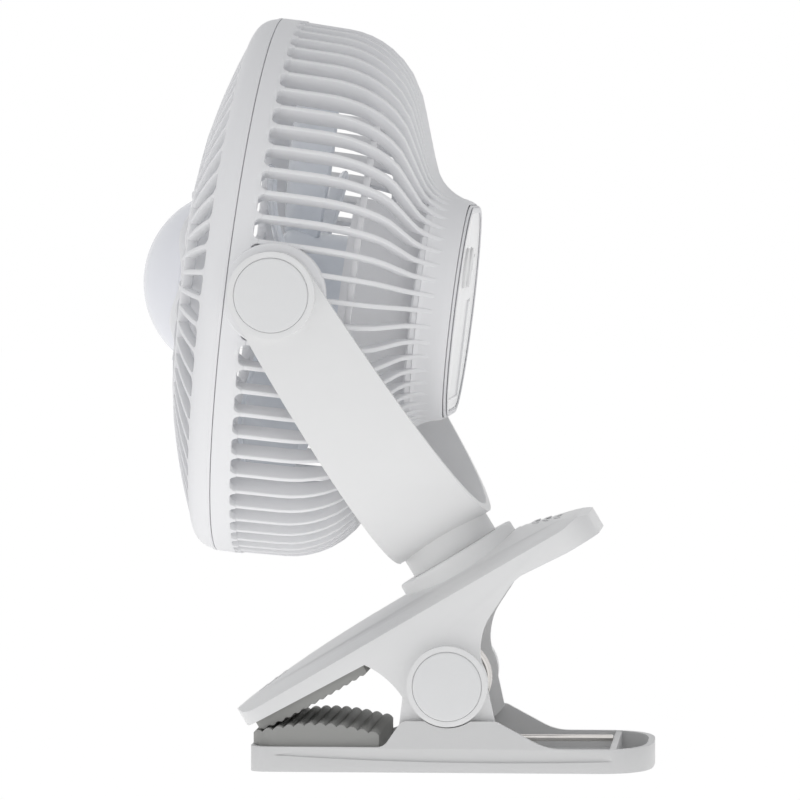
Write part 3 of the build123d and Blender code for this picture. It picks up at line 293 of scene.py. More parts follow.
@dataclass(frozen=True)
class Rubber:
    """Dull grey rubber with a dusty, pitted skin."""

    name: str
    level: float

    def make(self) -> bpy.types.Material:
        """Build the material.

        Returns:
            The material.
        """
        shader = Shader(self.name)
        cloud = shader.noise(9.0, 4.0)
        pits = shader.node(
            "ShaderNodeTexVoronoi", {}, {"Vector": shader.place(), "Scale": 1 / (0.6 * MM)}, "Distance"
        )
        colour = shader.tint(cloud, grey(self.level * 0.86, 0.004), grey(self.level * 1.14, 0.004))
        shader.set(Base_Color=colour, Roughness=(cloud * 0.16 + 0.26).clamped(), IOR=1.52)
        shader.relief((pits * 0.6 + cloud * 0.4).clamped(), 0.02)
        return shader.material


@dataclass(frozen=True)
class Metal:
    """Plated or drawn metal with fine marks along its length."""

    name: str
    level: float
    warmth: float = 0.0
    roughness: float = 0.26
    streak: Point = (1.0, 1.0, 14.0)

    def make(self) -> bpy.types.Material:
        """Build the material.

        Returns:
            The material.
        """
        shader = Shader(self.name)
        streaks = shader.noise(2.2, 3.0, self.streak)
        spots = shader.noise(5.0, 4.0)
        dark = grey(self.level * 0.9, self.warmth)
        light = grey(self.level * 1.06, self.warmth)
        roughness = (streaks * 0.2 + (self.roughness - 0.1)).clamped()
        shader.set(Base_Color=shader.tint(spots, dark, light), Metallic=1.0, Roughness=roughness)
        shader.relief(streaks, 0.012)
        return shader.material


@dataclass(frozen=True)
class Diffuser:
    """Milky plastic that glows a little from inside, with a glossy skin."""

    name: str
    colour: Colour
    deep: Colour

    def make(self) -> bpy.types.Material:
        """Build the material.

        Returns:
            The material.
        """
        shader = Shader(self.name)
        cloud = shader.noise(18.0, 2.0)
        speck = shader.noise(0.8, 2.0)
        colour = shader.tint(cloud, self.deep, self.colour)
        shader.set(Base_Color=colour, Roughness=(speck * 0.06 + 0.12).clamped())
        shader.set(Coat_Weight=0.6, Coat_Roughness=0.05, IOR=1.5)
        shader.set(Subsurface_Weight=0.12, Subsurface_Radius=(0.006, 0.006, 0.007), Subsurface_Scale=1.0)
        shader.relief(speck, 0.004)
        return shader.material


@dataclass(frozen=True)
class Board:
    """Green lacquered circuit board with faint tracks under the lacquer."""

    name: str

    def make(self) -> bpy.types.Material:
        """Build the material.

        Returns:
            The material.
        """
        shader = Shader(self.name)
        inputs = {"Vector": shader.place(), "Scale": 1 / (9 * MM), "Mortar Size": 0.03}
        tracks = shader.node("ShaderNodeTexBrick", {}, inputs, "Fac")
        colour = shader.tint(tracks, (0.02, 0.12, 0.05, 1), (0.07, 0.27, 0.12, 1))
        shader.set(Base_Color=colour, Roughness=0.35)
        shader.relief(tracks, 0.05)
        return shader.material


@dataclass(frozen=True)
class Sleeve:
    """Shrunk film round a cell, with soft wrinkles."""

    name: str
    colour: Colour

    def make(self) -> bpy.types.Material:
        """Build the material.

        Returns:
            The material.
        """
        shader = Shader(self.name)
        wrinkle = shader.noise(6.0, 2.0, (1.0, 4.0, 1.0))
        dark = tuple(part * 0.8 for part in self.colour[:3]) + (1.0,)
        colour = shader.tint(wrinkle, dark, self.colour)
        shader.set(Base_Color=colour, Roughness=(wrinkle * 0.1 + 0.25).clamped())
        shader.relief(wrinkle, 0.08)
        return shader.material


class Finish(Enum):
    """The finishes of the fan's pieces, with the record's slot of each."""

    SHELL = (MouldedPlastic("white_shell", 0.85, -0.006, 0.44, 0.018), "white_shell")
    GLOSS = (MouldedPlastic("white_gloss", 0.85, -0.004, 0.34, 0.008, 0.08), "white_gloss")
    CAP = (MouldedPlastic("white_cap", 0.80, -0.003, 0.5, 0.03), "white_gloss")
    CLIP = (MouldedPlastic("white_clip", 0.82, 0.0, 0.4, 0.014), "white_shell")
    # The base's white plastic is set darker than the rest, as painted shade for the dimmer light that falls
    # on the base.
    FOOT = (MouldedPlastic("white_foot_painted_shade", 0.68, 0.0, 0.42, 0.014), "white_shell")
    BLADE = (MouldedPlastic("blade_plastic", 0.84, -0.025, 0.3, 0.006), "blade_plastic")
    KEY = (MouldedPlastic("key_plastic", 0.76, 0.0, 0.36, 0.01), "button_plastic")
    LENS = (Diffuser("lens_plastic", (0.58, 0.58, 0.63, 1), (0.52, 0.53, 0.59, 1)), "lens_plastic")
    DARK = (MouldedPlastic("dark_mark", 0.22, 0.0, 0.5, 0.01), "button_plastic")
    RUBBER = (Rubber("grey_rubber", 0.15), "grey_rubber")
    STEEL = (Metal("plated_steel", 0.6), "steel")
    WIRE = (Metal("spring_wire", 0.62, 0.02, 0.22, (1.0, 9.0, 1.0)), "spring_steel")
    CAN = (Metal("motor_can", 0.55, 0.0, 0.3), "motor_steel")
    BOARD = (Board("circuit_board"), "board")
    SLEEVE = (Sleeve("cell_sleeve", (0.2, 0.35, 0.6, 1)), "cell_wrap")

    def material(self) -> bpy.types.Material:
        """Give the finish's material, made once."""
        recipe = self.value[0]
        return bpy.data.materials.get(recipe.name) or recipe.make()

    @property
    def slot(self) -> str:
        """The record's material slot."""
        return self.value[1]


# --- modelling ---
class Bench:
    """Shapes meshes with Blender's own operators; every length that it takes is in millimetres."""

    def clear(self) -> None:
        """Leave edit mode and select nothing."""
        if bpy.context.object and bpy.context.object.mode != "OBJECT":
            bpy.ops.object.mode_set(mode="OBJECT")
        bpy.ops.object.select_all(action="DESELECT")

    def hold(self, piece: Piece) -> Piece:
        """Select one piece alone and make it active.

        Args:
            piece: The piece.

        Returns:
            The same piece.
        """
        self.clear()
        piece.select_set(True)
        bpy.context.view_layer.objects.active = piece
        return piece

    def edit(self, piece: Piece, choose: Callable[[Vector], bool] | None = None) -> None:
        """Enter edit mode with chosen vertices selected.

        Args:
            piece: The piece to edit.
            choose: Tells from a vertex's place in millimetres whether it is selected; all if left out.
        """
        self.hold(piece)
        bpy.ops.object.mode_set(mode="EDIT")
        bpy.ops.mesh.select_mode(type="VERT")
        bpy.ops.mesh.select_all(action="SELECT" if choose is None else "DESELECT")
        if choose is None:
            return
        bpy.ops.object.mode_set(mode="OBJECT")
        origin = piece.location
        for vertex in piece.data.vertices:
            vertex.select = choose((vertex.co + origin) / MM)
        bpy.ops.object.mode_set(mode="EDIT")

    def done(self) -> None:
        """Leave edit mode."""
        bpy.ops.object.mode_set(mode="OBJECT")

    def modified(self, piece: Piece, kind: str, **settings: object) -> Piece:
        """Give a piece one modifier and apply it.

        Args:
            piece: The piece.
            kind: The modifier's type.
            settings: The modifier's settings.

        Returns:
            The same piece.
        """
        self.hold(piece)
        bpy.ops.object.modifier_add(type=kind)
        modifier = piece.modifiers[-1]
        for key, value in settings.items():
            setattr(modifier, key, value)
        bpy.ops.object.modifier_apply(modifier=modifier.name)
        return piece

    def posed(self, piece: Piece, angles: Point, place: Point = (0.0, 0.0, 0.0)) -> Piece:
        """Turn a piece by angles in radians, move it to a place and apply both.

        Args:
            piece: The piece.
            angles: Its turns about x, y and z in radians.
            place: Where its origin goes.

        Returns:
            The same piece.
        """
        piece.rotation_euler = angles
        piece.location = Vector(place) * MM
        self.hold(piece)
        bpy.ops.object.transform_apply(location=True, rotation=True)
        return piece

    def chain(self, name: str, points: Sequence[Point], closed: bool = False) -> Piece:
        """Draw a chain of edges, extruded vertex by vertex.

        Args:
            name: The piece's name.
            points: The chain's points.
            closed: Whether it returns to its first point.

        Returns:
            The chain, with nothing filled.
        """
        self.clear()
        bpy.ops.mesh.primitive_plane_add(size=MM, location=Vector(points[0]) * MM)
        piece = bpy.context.object
        piece.name = name
        bpy.ops.object.mode_set(mode="EDIT")
        bpy.ops.mesh.select_all(action="SELECT")
        bpy.ops.mesh.merge(type="CENTER")
        path = list(points) + ([points[0]] if closed else [])
        for start, end in zip(path, path[1:]):
            step = (Vector(end) - Vector(start)) * MM
            bpy.ops.mesh.extrude_vertices_move(TRANSFORM_OT_translate={"value": step})
        bpy.ops.mesh.select_all(action="SELECT")
        bpy.ops.mesh.remove_doubles(threshold=WELD * MM)
        bpy.ops.object.mode_set(mode="OBJECT")
        bpy.ops.object.transform_apply(location=True)
        return piece

    def tidy(self, piece: Piece, gap: float = MERGE_GAP) -> Piece:
        """Merge doubled vertices and turn every face outwards.

        Args:
            piece: The piece.
            gap: How near two vertices are merged.

        Returns:
            The same piece.
        """
        self.edit(piece)
        bpy.ops.mesh.remove_doubles(threshold=gap * MM)
        bpy.ops.mesh.normals_make_consistent(inside=False)
        self.done()
        return piece

    def spun(self, name: str, outline: Sequence[Pair], steps: int = 144, closed: bool = True,
             turn: float = FULL_TURN, start: float = 0.0) -> Piece:
        """Turn an outline of (radius, height) about the z axis.

        Args:
            name: The piece's name.
            outline: The outline's points.
            steps: Steps of the turn.
            closed: Whether the outline closes on itself.
            turn: The angle turned through, in radians.
            start: The angle at which it starts.

        Returns:
            The turned piece.
        """
        places = [(radius * math.cos(start), radius * math.sin(start), height) for radius, height in outline]
        piece = self.chain(name, places, closed)
        self.edit(piece)
        if closed and turn < FULL_TURN:
            bpy.ops.mesh.edge_face_add()
        bpy.ops.mesh.spin(steps=steps, angle=-turn, center=(0, 0, 0), axis=(0, 0, 1))
        bpy.ops.mesh.select_all(action="SELECT")
        self.done()
        return self.tidy(piece)

    def slab(self, name: str, outline: Sequence[Point], push: Point) -> Piece:
        """Fill a closed outline and extrude it.

        Args:
            name: The piece's name.
            outline: The outline's points.
            push: The extrusion.

        Returns:
            The closed slab.
        """
        piece = self.chain(name, outline, True)
        self.edit(piece)
        bpy.ops.mesh.edge_face_add()
        bpy.ops.mesh.extrude_region_move(TRANSFORM_OT_translate={"value": Vector(push) * MM})
        self.done()
        return self.tidy(piece)

    def ring_of(self, piece: Piece, count: int) -> Piece:
        """Repeat a piece round the z axis, each copy with its own mesh.

        Args:
            piece: The first of them.
            count: How many there are in all.

        Returns:
            All of them as one piece.
        """
        self.edit(piece)
        bpy.ops.mesh.spin(
            steps=count - 1, angle=FULL_TURN * (count - 1) / count, center=(0, 0, 0), axis=(0, 0, 1),
            dupli=True, use_auto_merge=False,
        )
        self.done()
        return piece

    def round_edges(self, piece: Piece, width: float, segments: int = 2, angle: float = 32.0) -> Piece:
        """Round a piece's sharp edges.

        Args:
            piece: The piece.
            width: The rounding's width.
            segments: Its number of steps.
            angle: The least turn, in degrees, that counts as an edge.

        Returns:
            The same piece.
        """
        return self.modified(
            piece, "BEVEL", width=width * MM, segments=segments, limit_method="ANGLE",
            angle_limit=math.radians(angle), use_clamp_overlap=True,
        )

    def round_corner(self, piece: Piece, corner: Pair, radius: float) -> Piece:
        """Round the edges that run across a piece at one place of its side view.

        Args:
            piece: The piece.
            corner: The edges' place along and up.
            radius: The rounding's width.

        Returns:
            The same piece.
        """
        self.edit(piece, lambda place: math.hypot(place.x - corner[0], place.z - corner[1]) < CORNER_REACH)
        bpy.ops.mesh.bevel(offset=radius * MM, segments=7, affect="EDGES", clamp_overlap=True)
        self.done()
        return piece

    def mirrored(self, piece: Piece, up: bool, side: bool) -> Piece:
        """Mirror a piece about its frame's origin, up and down, across, or both."""
        self.modified(piece, "MIRROR", use_axis=(up, side, False), use_mirror_merge=False)
        return self.tidy(piece, MIRROR_GAP)

    def cut(self, piece: Piece, tool: Piece, operation: str = "DIFFERENCE") -> Piece:
        """Cut a piece with another, which is used up.

        Args:
            piece: The piece that stays.
            tool: The cutting piece.
            operation: The Boolean modifier's operation.

        Returns:
            The cut piece.
        """
        self.modified(piece, "BOOLEAN", operation=operation, object=tool, solver="EXACT")
        bpy.data.objects.remove(tool)
        return piece

    def joined(self, name: str, pieces: Sequence[Piece]) -> Piece:
        """Join pieces into one of that name.

        Args:
            name: The joined piece's name.
            pieces: The pieces.

        Returns:
            The joined piece.
        """
        self.clear()
        for piece in pieces:
            piece.select_set(True)
        bpy.context.view_layer.objects.active = pieces[0]
        if len(pieces) > 1:
            bpy.ops.object.join()
        pieces[0].name = name
        return pieces[0]

    def placed(self, piece: Piece, matrix: Matrix) -> Piece:
        """Move a piece from its modelling frame into the part's frame.

        Args:
            piece: The piece.
            matrix: The modelling frame's matrix.

        Returns:
            The same piece.
        """
        self.hold(piece)
        piece.matrix_world = matrix @ piece.matrix_world
        bpy.ops.object.transform_apply(location=True, rotation=True, scale=True)
        return piece

    def smooth(self, piece: Piece, angle: float = 35.0) -> Piece:
        """Shade smooth up to an angle in degrees.

        Args:
            piece: The piece.
            angle: The greatest turn that is shaded smooth.

        Returns:
            The same piece.
        """
        self.hold(piece)
        bpy.ops.object.shade_smooth_by_angle(angle=math.radians(angle))
        return piece

    def copied(self, node: str) -> Piece:
        """Copy a node's own shape, with its flat faces whole.

        Args:
            node: The node.

        Returns:
            The copy.
        """
        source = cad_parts[node]
        piece = source.copy()
        piece.data = source.data.copy()
        piece.parent = None
        piece.name = node + ".body"
        for key in list(piece.keys()):
            del piece[key]
        bpy.context.scene.collection.objects.link(piece)
        self.hold(piece)
        bpy.ops.mesh.customdata_custom_splitnormals_clear()
        self.edit(piece)
        bpy.ops.mesh.remove_doubles(threshold=WELD * MM)
        bpy.ops.mesh.dissolve_limited(angle_limit=math.radians(0.4))
        self.done()
        return piece

    def softened(self, node: str, width: float, segments: int = 2) -> Piece:
        """Copy a node's own shape and round its edges by a width in so many steps."""
        return self.round_edges(self.copied(node), width, segments)


BENCH = Bench()


def finish_piece(piece: Piece, finish: Finish, body: str, nodes: Iterable[str] = (),
                 beyond: tuple[str, Point, Point] | None = None) -> Piece:
    """Dress a finished piece, set it on its body, or leave one that crosses a joint loose in the part's
    frame, and report it.

    Args:
        piece: The piece, in the part's frame.
        finish: Its finish.
        body: The body that carries it.
        nodes: The nodes that it stands for.
        beyond: For a piece that crosses a joint, the further body and the bend's start and end; only whether
            it is given is read, and nothing bends the piece.

    Returns:
        The piece.
    """
    piece.data.materials.clear()
    piece.data.materials.append(finish.material())
    if beyond:
        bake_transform(piece)
    else:
        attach(piece, body)
    if nodes:
        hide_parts(*nodes)
    LOG.info("%s rides on %s with %d faces", piece.name, body, len(piece.data.polygons))
    return piece


def dress_node(node: str, finish: Finish) -> None:
    """Give a node that stays its finish.

    Args:
        node: The node.
        finish: Its finish.
    """
    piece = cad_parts[node]
    piece.data.materials.clear()
    piece.data.materials.append(finish.material())
    LOG.info("%s keeps its own shape", node)


def arc(centre: Pair, radius: float, start: float, end: float, steps: int) -> list[Pair]:
    """Points along an arc.

    Args:
        centre: The arc's centre.
        radius: Its radius.
        start: The first angle in degrees.
        end: The last angle.
        steps: The number of steps.

    Returns:
        The points, both ends included.
    """
    points = []
    for step in range(steps + 1):
        angle = math.radians(start + (end - start) * step / steps)
        points.append((centre[0] + radius * math.cos(angle), centre[1] + radius * math.sin(angle)))
    return points


def rounded(corners: Sequence[Point], steps: int = 7) -> list[Pair]:
    """Round a closed outline's corners.

    Args:
        corners: Each corner's place and radius.
        steps: Steps of each rounding.

    Returns:
        The outline's points.
    """
    points = []
    for index, (x, y, radius) in enumerate(corners):
        here = Vector((x, y))
        before = (Vector(corners[index - 1][:2]) - here).normalized()
        after = (Vector(corners[(index + 1) % len(corners)][:2]) - here).normalized()
        if not radius:
            points.append((x, y))
            continue
        half = before.angle(after) / 2
        centre = here + (before + after).normalized() * radius / math.sin(half)
        start = here + before * radius / math.tan(half) - centre
        turn = start.angle_signed(here + after * radius / math.tan(half) - centre)
        for step in range(steps + 1):
            spoke = start.copy()
            spoke.rotate(Matrix.Rotation(-turn * step / steps, 2))
            points.append(tuple(centre + spoke))
    return points


# --- head ---
@dataclass
class HeadSizes:
    """Sizes that the head's pieces share."""

    ring: float = 107.2
    ahead: float = 18.5
    wall: float = 2.2
    neck_flat: float = 22.0
    hub: float = 35.0
    bezel_inner: float = 100.0
    bezel_depth: float = 9.8
    rise: float = 25.3
    mid_ring: float = 64.0
    gap: float = 0.3


@dataclass
class RearCage:
    """The ribbed cage behind the seam: band, ribs, hoop, bearing pads and neck."""

    sizes: HeadSizes
    band: float = 7.5
    wall_depth: float = 3.2
    slot_corner: float = 0.62
    ribs_round: int = 68
    rib: float = 1.9
    rib_depth: float = 7.4
    shoulder_behind: float = 27.0
    shoulder_drop: float = 1.0
    shoulder_arc: float = 35.0
    slope: float = 71.8
    throat_behind: float = 66.6
    throat_arc: float = 20.5
    fin_end: float = 79.0
    panel: float = 86.0
    flare: float = 46.6
    collar: float = 43.4
    rear: float = 42.0
    tip: float = 0.8
    hoop_behind: float = 48.0
    hoop: float = 2.6
    pad: float = 19.9
    pad_face: float = 109.6
    pad_root: float = 101.0
    web: float = 22.0
    tail_stations: tuple[float, ...] = (60.0, 63.0, 65.5, 67.6, 69.6, 71.6, 73.6, 75.6, 77.4)
    inner_stations: tuple[float, ...] = (66.0, 61.0, 56.0, 51.0, 46.0, 41.0, 36.0, 30.0, 18.0)
    throat: tuple[Pair, ...] = (
        (68.6, 4.2), (69.4, 2.6), (71.0, 1.7), (73.0, 1.05), (75.0, 0.55), (77.0, 0.15), (78.8, -0.12),
        (80.4, 0.15), (82.4, 0.75), (84.0, 1.6),
    )

    def top(self, behind: float) -> float:
        """Radius of the outline over the top, at a depth behind the seam.

        Args:
            behind: The depth behind the seam.

        Returns:
            The radius.
        """
        slope = math.radians(self.slope)
        start = math.atan2(self.shoulder_drop, self.shoulder_behind)
        if behind < self.shoulder_behind:
            return self.sizes.ring - self.shoulder_drop * behind / self.shoulder_behind
        centre = self.shoulder_behind - self.shoulder_arc * math.sin(start)
        crown = self.sizes.ring - self.shoulder_drop - self.shoulder_arc * math.cos(start)
        bend = centre + self.shoulder_arc * math.sin(slope)
        if behind < bend:
            return crown + math.sqrt(self.shoulder_arc**2 - (behind - centre) ** 2)
        fall = crown + self.shoulder_arc * math.cos(slope)
        fall -= math.tan(slope) * (min(behind, self.throat_behind) - bend)
        if behind < self.throat_behind:
            return fall
        centre = self.throat_behind + self.throat_arc * math.sin(slope)
        drop = math.sqrt(self.throat_arc**2 - (behind - centre) ** 2)
        return fall + self.throat_arc * math.cos(slope) - drop

    def share(self, behind: float) -> float:
        """How far out the outline stands, from one at the seam to nought at the fins' end."""
        end = self.top(self.fin_end)
        return (self.top(behind) - end) / (self.sizes.ring - end)

    def oval(self, angle: float, half_height: float) -> float:
        """Distance from the axis to an oval with straight top, at an angle from straight up.

        Args:
            angle: The angle from straight up, in radians.
            half_height: Half the oval's height.

        Returns:
            The distance.
        """
        up = abs(math.cos(angle))
        side = abs(math.sin(angle))
        flat = self.sizes.neck_flat
        if up * flat >= side * half_height:
            return half_height / up
        return flat * side + math.sqrt(half_height**2 - (flat * up) ** 2)

    def rib_outline(self, angle: float) -> list[Point]:
        """Side view of the rib at an angle, from its front end to its tip and back inside.

        Args:
            angle: The angle from straight up, in radians.

        Returns:
            The outline's points.
        """
        root = self.oval(angle, self.collar + self.tip)
        front = self.band - 1.0
        depths = [front, 17.0, *(self.shoulder_behind + 4.4 * step for step in range(8))]
        depths += [*self.tail_stations, self.fin_end]
        outer = []
        for behind in depths:
            reach = root + (self.sizes.ring - root) * self.share(behind)
            outer.append((reach - 0.1, self.sizes.ahead - behind))
        inner = [(self.oval(angle, self.collar - 1.2), self.sizes.ahead - self.fin_end + 1.0)]
        inner.append((self.oval(angle, self.flare - 1.2), self.sizes.ahead - 72.0))
        for behind in (*self.inner_stations, front):
            reach = root + (self.sizes.ring - root) * self.share(behind)
            lean = min(1.0, max(0.0, (behind - 30.0) / 34.0))
            inner.append((reach - self.rib_depth * (1 - 0.5 * lean), self.sizes.ahead - behind + 3.4 * lean))
        return [(x, 0.0, z) for x, z in outer + inner]

    def ribs(self) -> Piece:
        """The ribs of one quarter, mirrored up and across, with the ones at its ends mirrored once.

        Returns:
            All the ribs as one piece.
        """
        pieces = []
        for index in range(self.ribs_round // 4 + 1):
            angle = FULL_TURN * index / self.ribs_round
            points = [(x, y - self.rib / 2, z) for x, y, z in self.rib_outline(angle)]
            rib = BENCH.posed(BENCH.slab("rib", points, (0, self.rib, 0)), (0.0, 0.0, angle))
            pieces.append(BENCH.round_edges(rib, 0.5, 3, 40))
        top, both, side = (BENCH.joined("ribs", group) for group in (pieces[:1], pieces[1:-1], pieces[-1:]))
        parts = [BENCH.mirrored(top, True, False), BENCH.mirrored(both, True, True)]
        return BENCH.joined("ribs", [*parts, BENCH.mirrored(side, False, True)])

    def slot_ends(self) -> Piece:
        """The cusps between the slots, which round each slot's front end.

        Returns:
            All the cusps as one piece.
        """
        pitch = FULL_TURN * self.sizes.ring / self.ribs_round
        reach = (pitch - self.rib) / 2
        back = self.sizes.ahead - self.band
        corner = self.slot_corner * reach
        edge = pitch / 2 - reach + corner
        turns = [math.pi / 2 * step / 5 for step in range(6)]
        side = [(edge - corner * math.sin(turn), back - corner * (1 - math.cos(turn))) for turn in turns]
        outline = [(-pitch / 2, back + 1.5), (pitch / 2, back + 1.5), (pitch / 2, back), *side]
        outline += [(-y, z) for y, z in reversed(side)] + [(-pitch / 2, back)]
        inner = self.sizes.ring - 0.06 - self.wall_depth
        cusp = BENCH.slab("cusp", [(inner, y, z) for y, z in outline], (self.wall_depth, 0, 0))
        return BENCH.ring_of(BENCH.round_edges(cusp, 0.3, 2, 40), self.ribs_round)

    def band_ring(self) -> Piece:
        """The plain band from the seam to the slots.

        Returns:
            The band.
        """
        ring = self.sizes.ring
        seam = self.sizes.ahead
        low = seam - self.band - 0.05
        outline = [(ring - 0.35, seam), (ring - 0.1, seam - 0.12), (ring, seam - 0.4), (ring - 0.05, low)]
        outline += [(ring - self.wall_depth, low), (ring - self.wall_depth, seam - 5.0)]
        outline += [(ring - self.sizes.wall, seam - 4.4), (ring - self.sizes.wall, seam)]
        return BENCH.spun("band", outline, 180)

    def inner_hoop(self) -> Piece:
        """The hoop that ties the ribs inside the slope.

        Returns:
            The hoop.
        """
        low = self.sizes.ahead - self.hoop_behind
        high = low + self.hoop
        root = self.oval(0.0, self.collar + self.tip)
        outer = root + (self.sizes.ring - root) * self.share(self.hoop_behind) - self.rib_depth / 2
        inner = outer - self.hoop
        outline = [(outer, low), (outer, high), (inner, high), (inner, low)]
        return BENCH.round_edges(BENCH.spun("hoop", outline, 120), 0.5, 2)

    def bearing(self) -> Piece:
        """Round bearing pads at both sides, with the solid web that carries each.

        Returns:
            Both pads and their webs as one piece.
        """
        seam = self.sizes.ahead
        ring = self.sizes.ring
        low = -self.web - 0.5
        span = math.asin((self.web + 0.6) / ring)
        top = seam - self.band + 0.8
        inner = ring - self.wall_depth
        outline = [(ring - 0.05, top), (ring - 0.25, low), (inner, low), (inner, top)]
        web = BENCH.spun("web", outline, 24, True, 2 * span, math.pi / 2 + span)
        near = self.pad_root - 11.0
        keep = [(self.web, near, top + 2), (self.web, near, 0.0)]
        for step in range(1, 24):
            angle = math.pi * step / 24
            keep.append((self.web * math.cos(angle), near, -self.web * math.sin(angle)))
        keep += [(-self.web, near, 0.0), (-self.web, near, top + 2)]
        BENCH.cut(web, BENCH.slab("keep", keep, (0, 30, 0)), "INTERSECT")
        height = self.pad_face - self.pad_root
        pad = BENCH.spun("pad", [(0.0, 0.0), (self.pad, 0.0), (self.pad, height), (0.0, height)], 96)
        BENCH.round_edges(pad, 0.6, 3)
        BENCH.posed(pad, ACROSS, (0.0, self.pad_root, 0.0))
        front = [(x, 80.0, seam + z) for x, z in ((-90.0, -0.4), (90.0, -0.4), (90.0, 30.0), (-90.0, 30.0))]
        BENCH.cut(pad, BENCH.slab("front", front, (0, 60, 0)))
        both = BENCH.joined("bearing", [BENCH.round_edges(web, 0.25, 2), pad])
        return BENCH.mirrored(both, False, True)

    def oval_loop(self, half_height: float, z: float) -> Piece:
        """One oval ring of edges: a circle whose halves are moved apart.

        Args:
            half_height: Half the oval's height.
            z: Its place along the axis.

        Returns:
            The loop.
        """
        BENCH.clear()
        bpy.ops.mesh.primitive_circle_add(
            vertices=120, radius=half_height * MM, location=(0, 0, z * MM), rotation=(0, 0, math.pi / 120)
        )
        loop = bpy.context.object
        bpy.ops.object.transform_apply(location=True, rotation=True)
        for side in (1, -1):
            BENCH.edit(loop, lambda place: place.y * side > 0)
            bpy.ops.transform.translate(value=(0, side * self.sizes.neck_flat * MM, 0))
            BENCH.done()
        return loop

    def neck(self) -> Piece:
        """The solid oval neck, open at both ends, whose lip holds the cover.

        Returns:
            The neck.
        """
        seam = self.sizes.ahead
        throat = seam - 71.0
        end = seam - self.panel
        middle = seam - self.fin_end
        wall = self.sizes.wall
        rear = self.rear
        mouth = rear - wall + 0.02
        lip = rear - wall - 0.4
        ledge = rear - wall - 0.8
        sections = [
            (self.flare - wall, throat), (self.flare - 0.5, throat), (self.flare, throat - 0.5),
            (self.flare - 2.4, throat - 4.0), (self.collar + 0.2, middle + 0.8),
            (self.collar - 0.1, middle - 0.6), (rear + 0.3, end + 1.6), (rear + 0.05, end + 0.8),
            (rear - 0.4, end + 0.25), (rear - 1.1, end), (rear - wall + 0.1, end), (lip, end + 0.3),
            (lip, end + 0.55), (mouth, end + 0.55), (mouth, end + 3.2), (ledge, end + 3.2),
            (ledge, end + 4.4), (self.collar - wall, middle),
        ]
        neck = BENCH.joined("neck", [self.oval_loop(size, z) for size, z in sections])
        BENCH.edit(neck)
        bpy.ops.mesh.bridge_edge_loops(type="CLOSED")
        BENCH.done()
        return BENCH.tidy(neck)

    def skin(self) -> Piece:
        """The solid throat that rises between the ribs' tails until they sink into it.

        Returns:
            The throat's skin.
        """
        root_height = self.collar + self.tip
        loops = []
        for behind, depth in self.throat:
            share = self.share(min(behind, self.fin_end))
            points = []
            for step in range(120):
                angle = FULL_TURN * step / 120
                root = self.oval(angle, root_height)
                reach = root + (self.sizes.ring - root) * share - depth
                points.append((reach * math.cos(angle), reach * math.sin(angle), self.sizes.ahead - behind))
            loops.append(BENCH.chain("skin", points, True))
        skin = BENCH.joined("skin", loops)
        BENCH.edit(skin)
        bpy.ops.mesh.bridge_edge_loops(type="SINGLE")
        BENCH.done()
        return BENCH.tidy(BENCH.modified(skin, "SOLIDIFY", thickness=0.6 * MM, offset=-1.0))

    def build(self) -> None:
        """Model, place and dress the cage."""
        parts = [
            self.band_ring(), self.slot_ends(), self.ribs(), self.inner_hoop(), self.bearing(), self.neck(),
            self.skin(),
        ]
        cage = BENCH.smooth(BENCH.joined("rear_cage.body", parts), 38)
        finish_piece(BENCH.placed(cage, HEAD), Finish.SHELL, "head", ["rear_cage"])


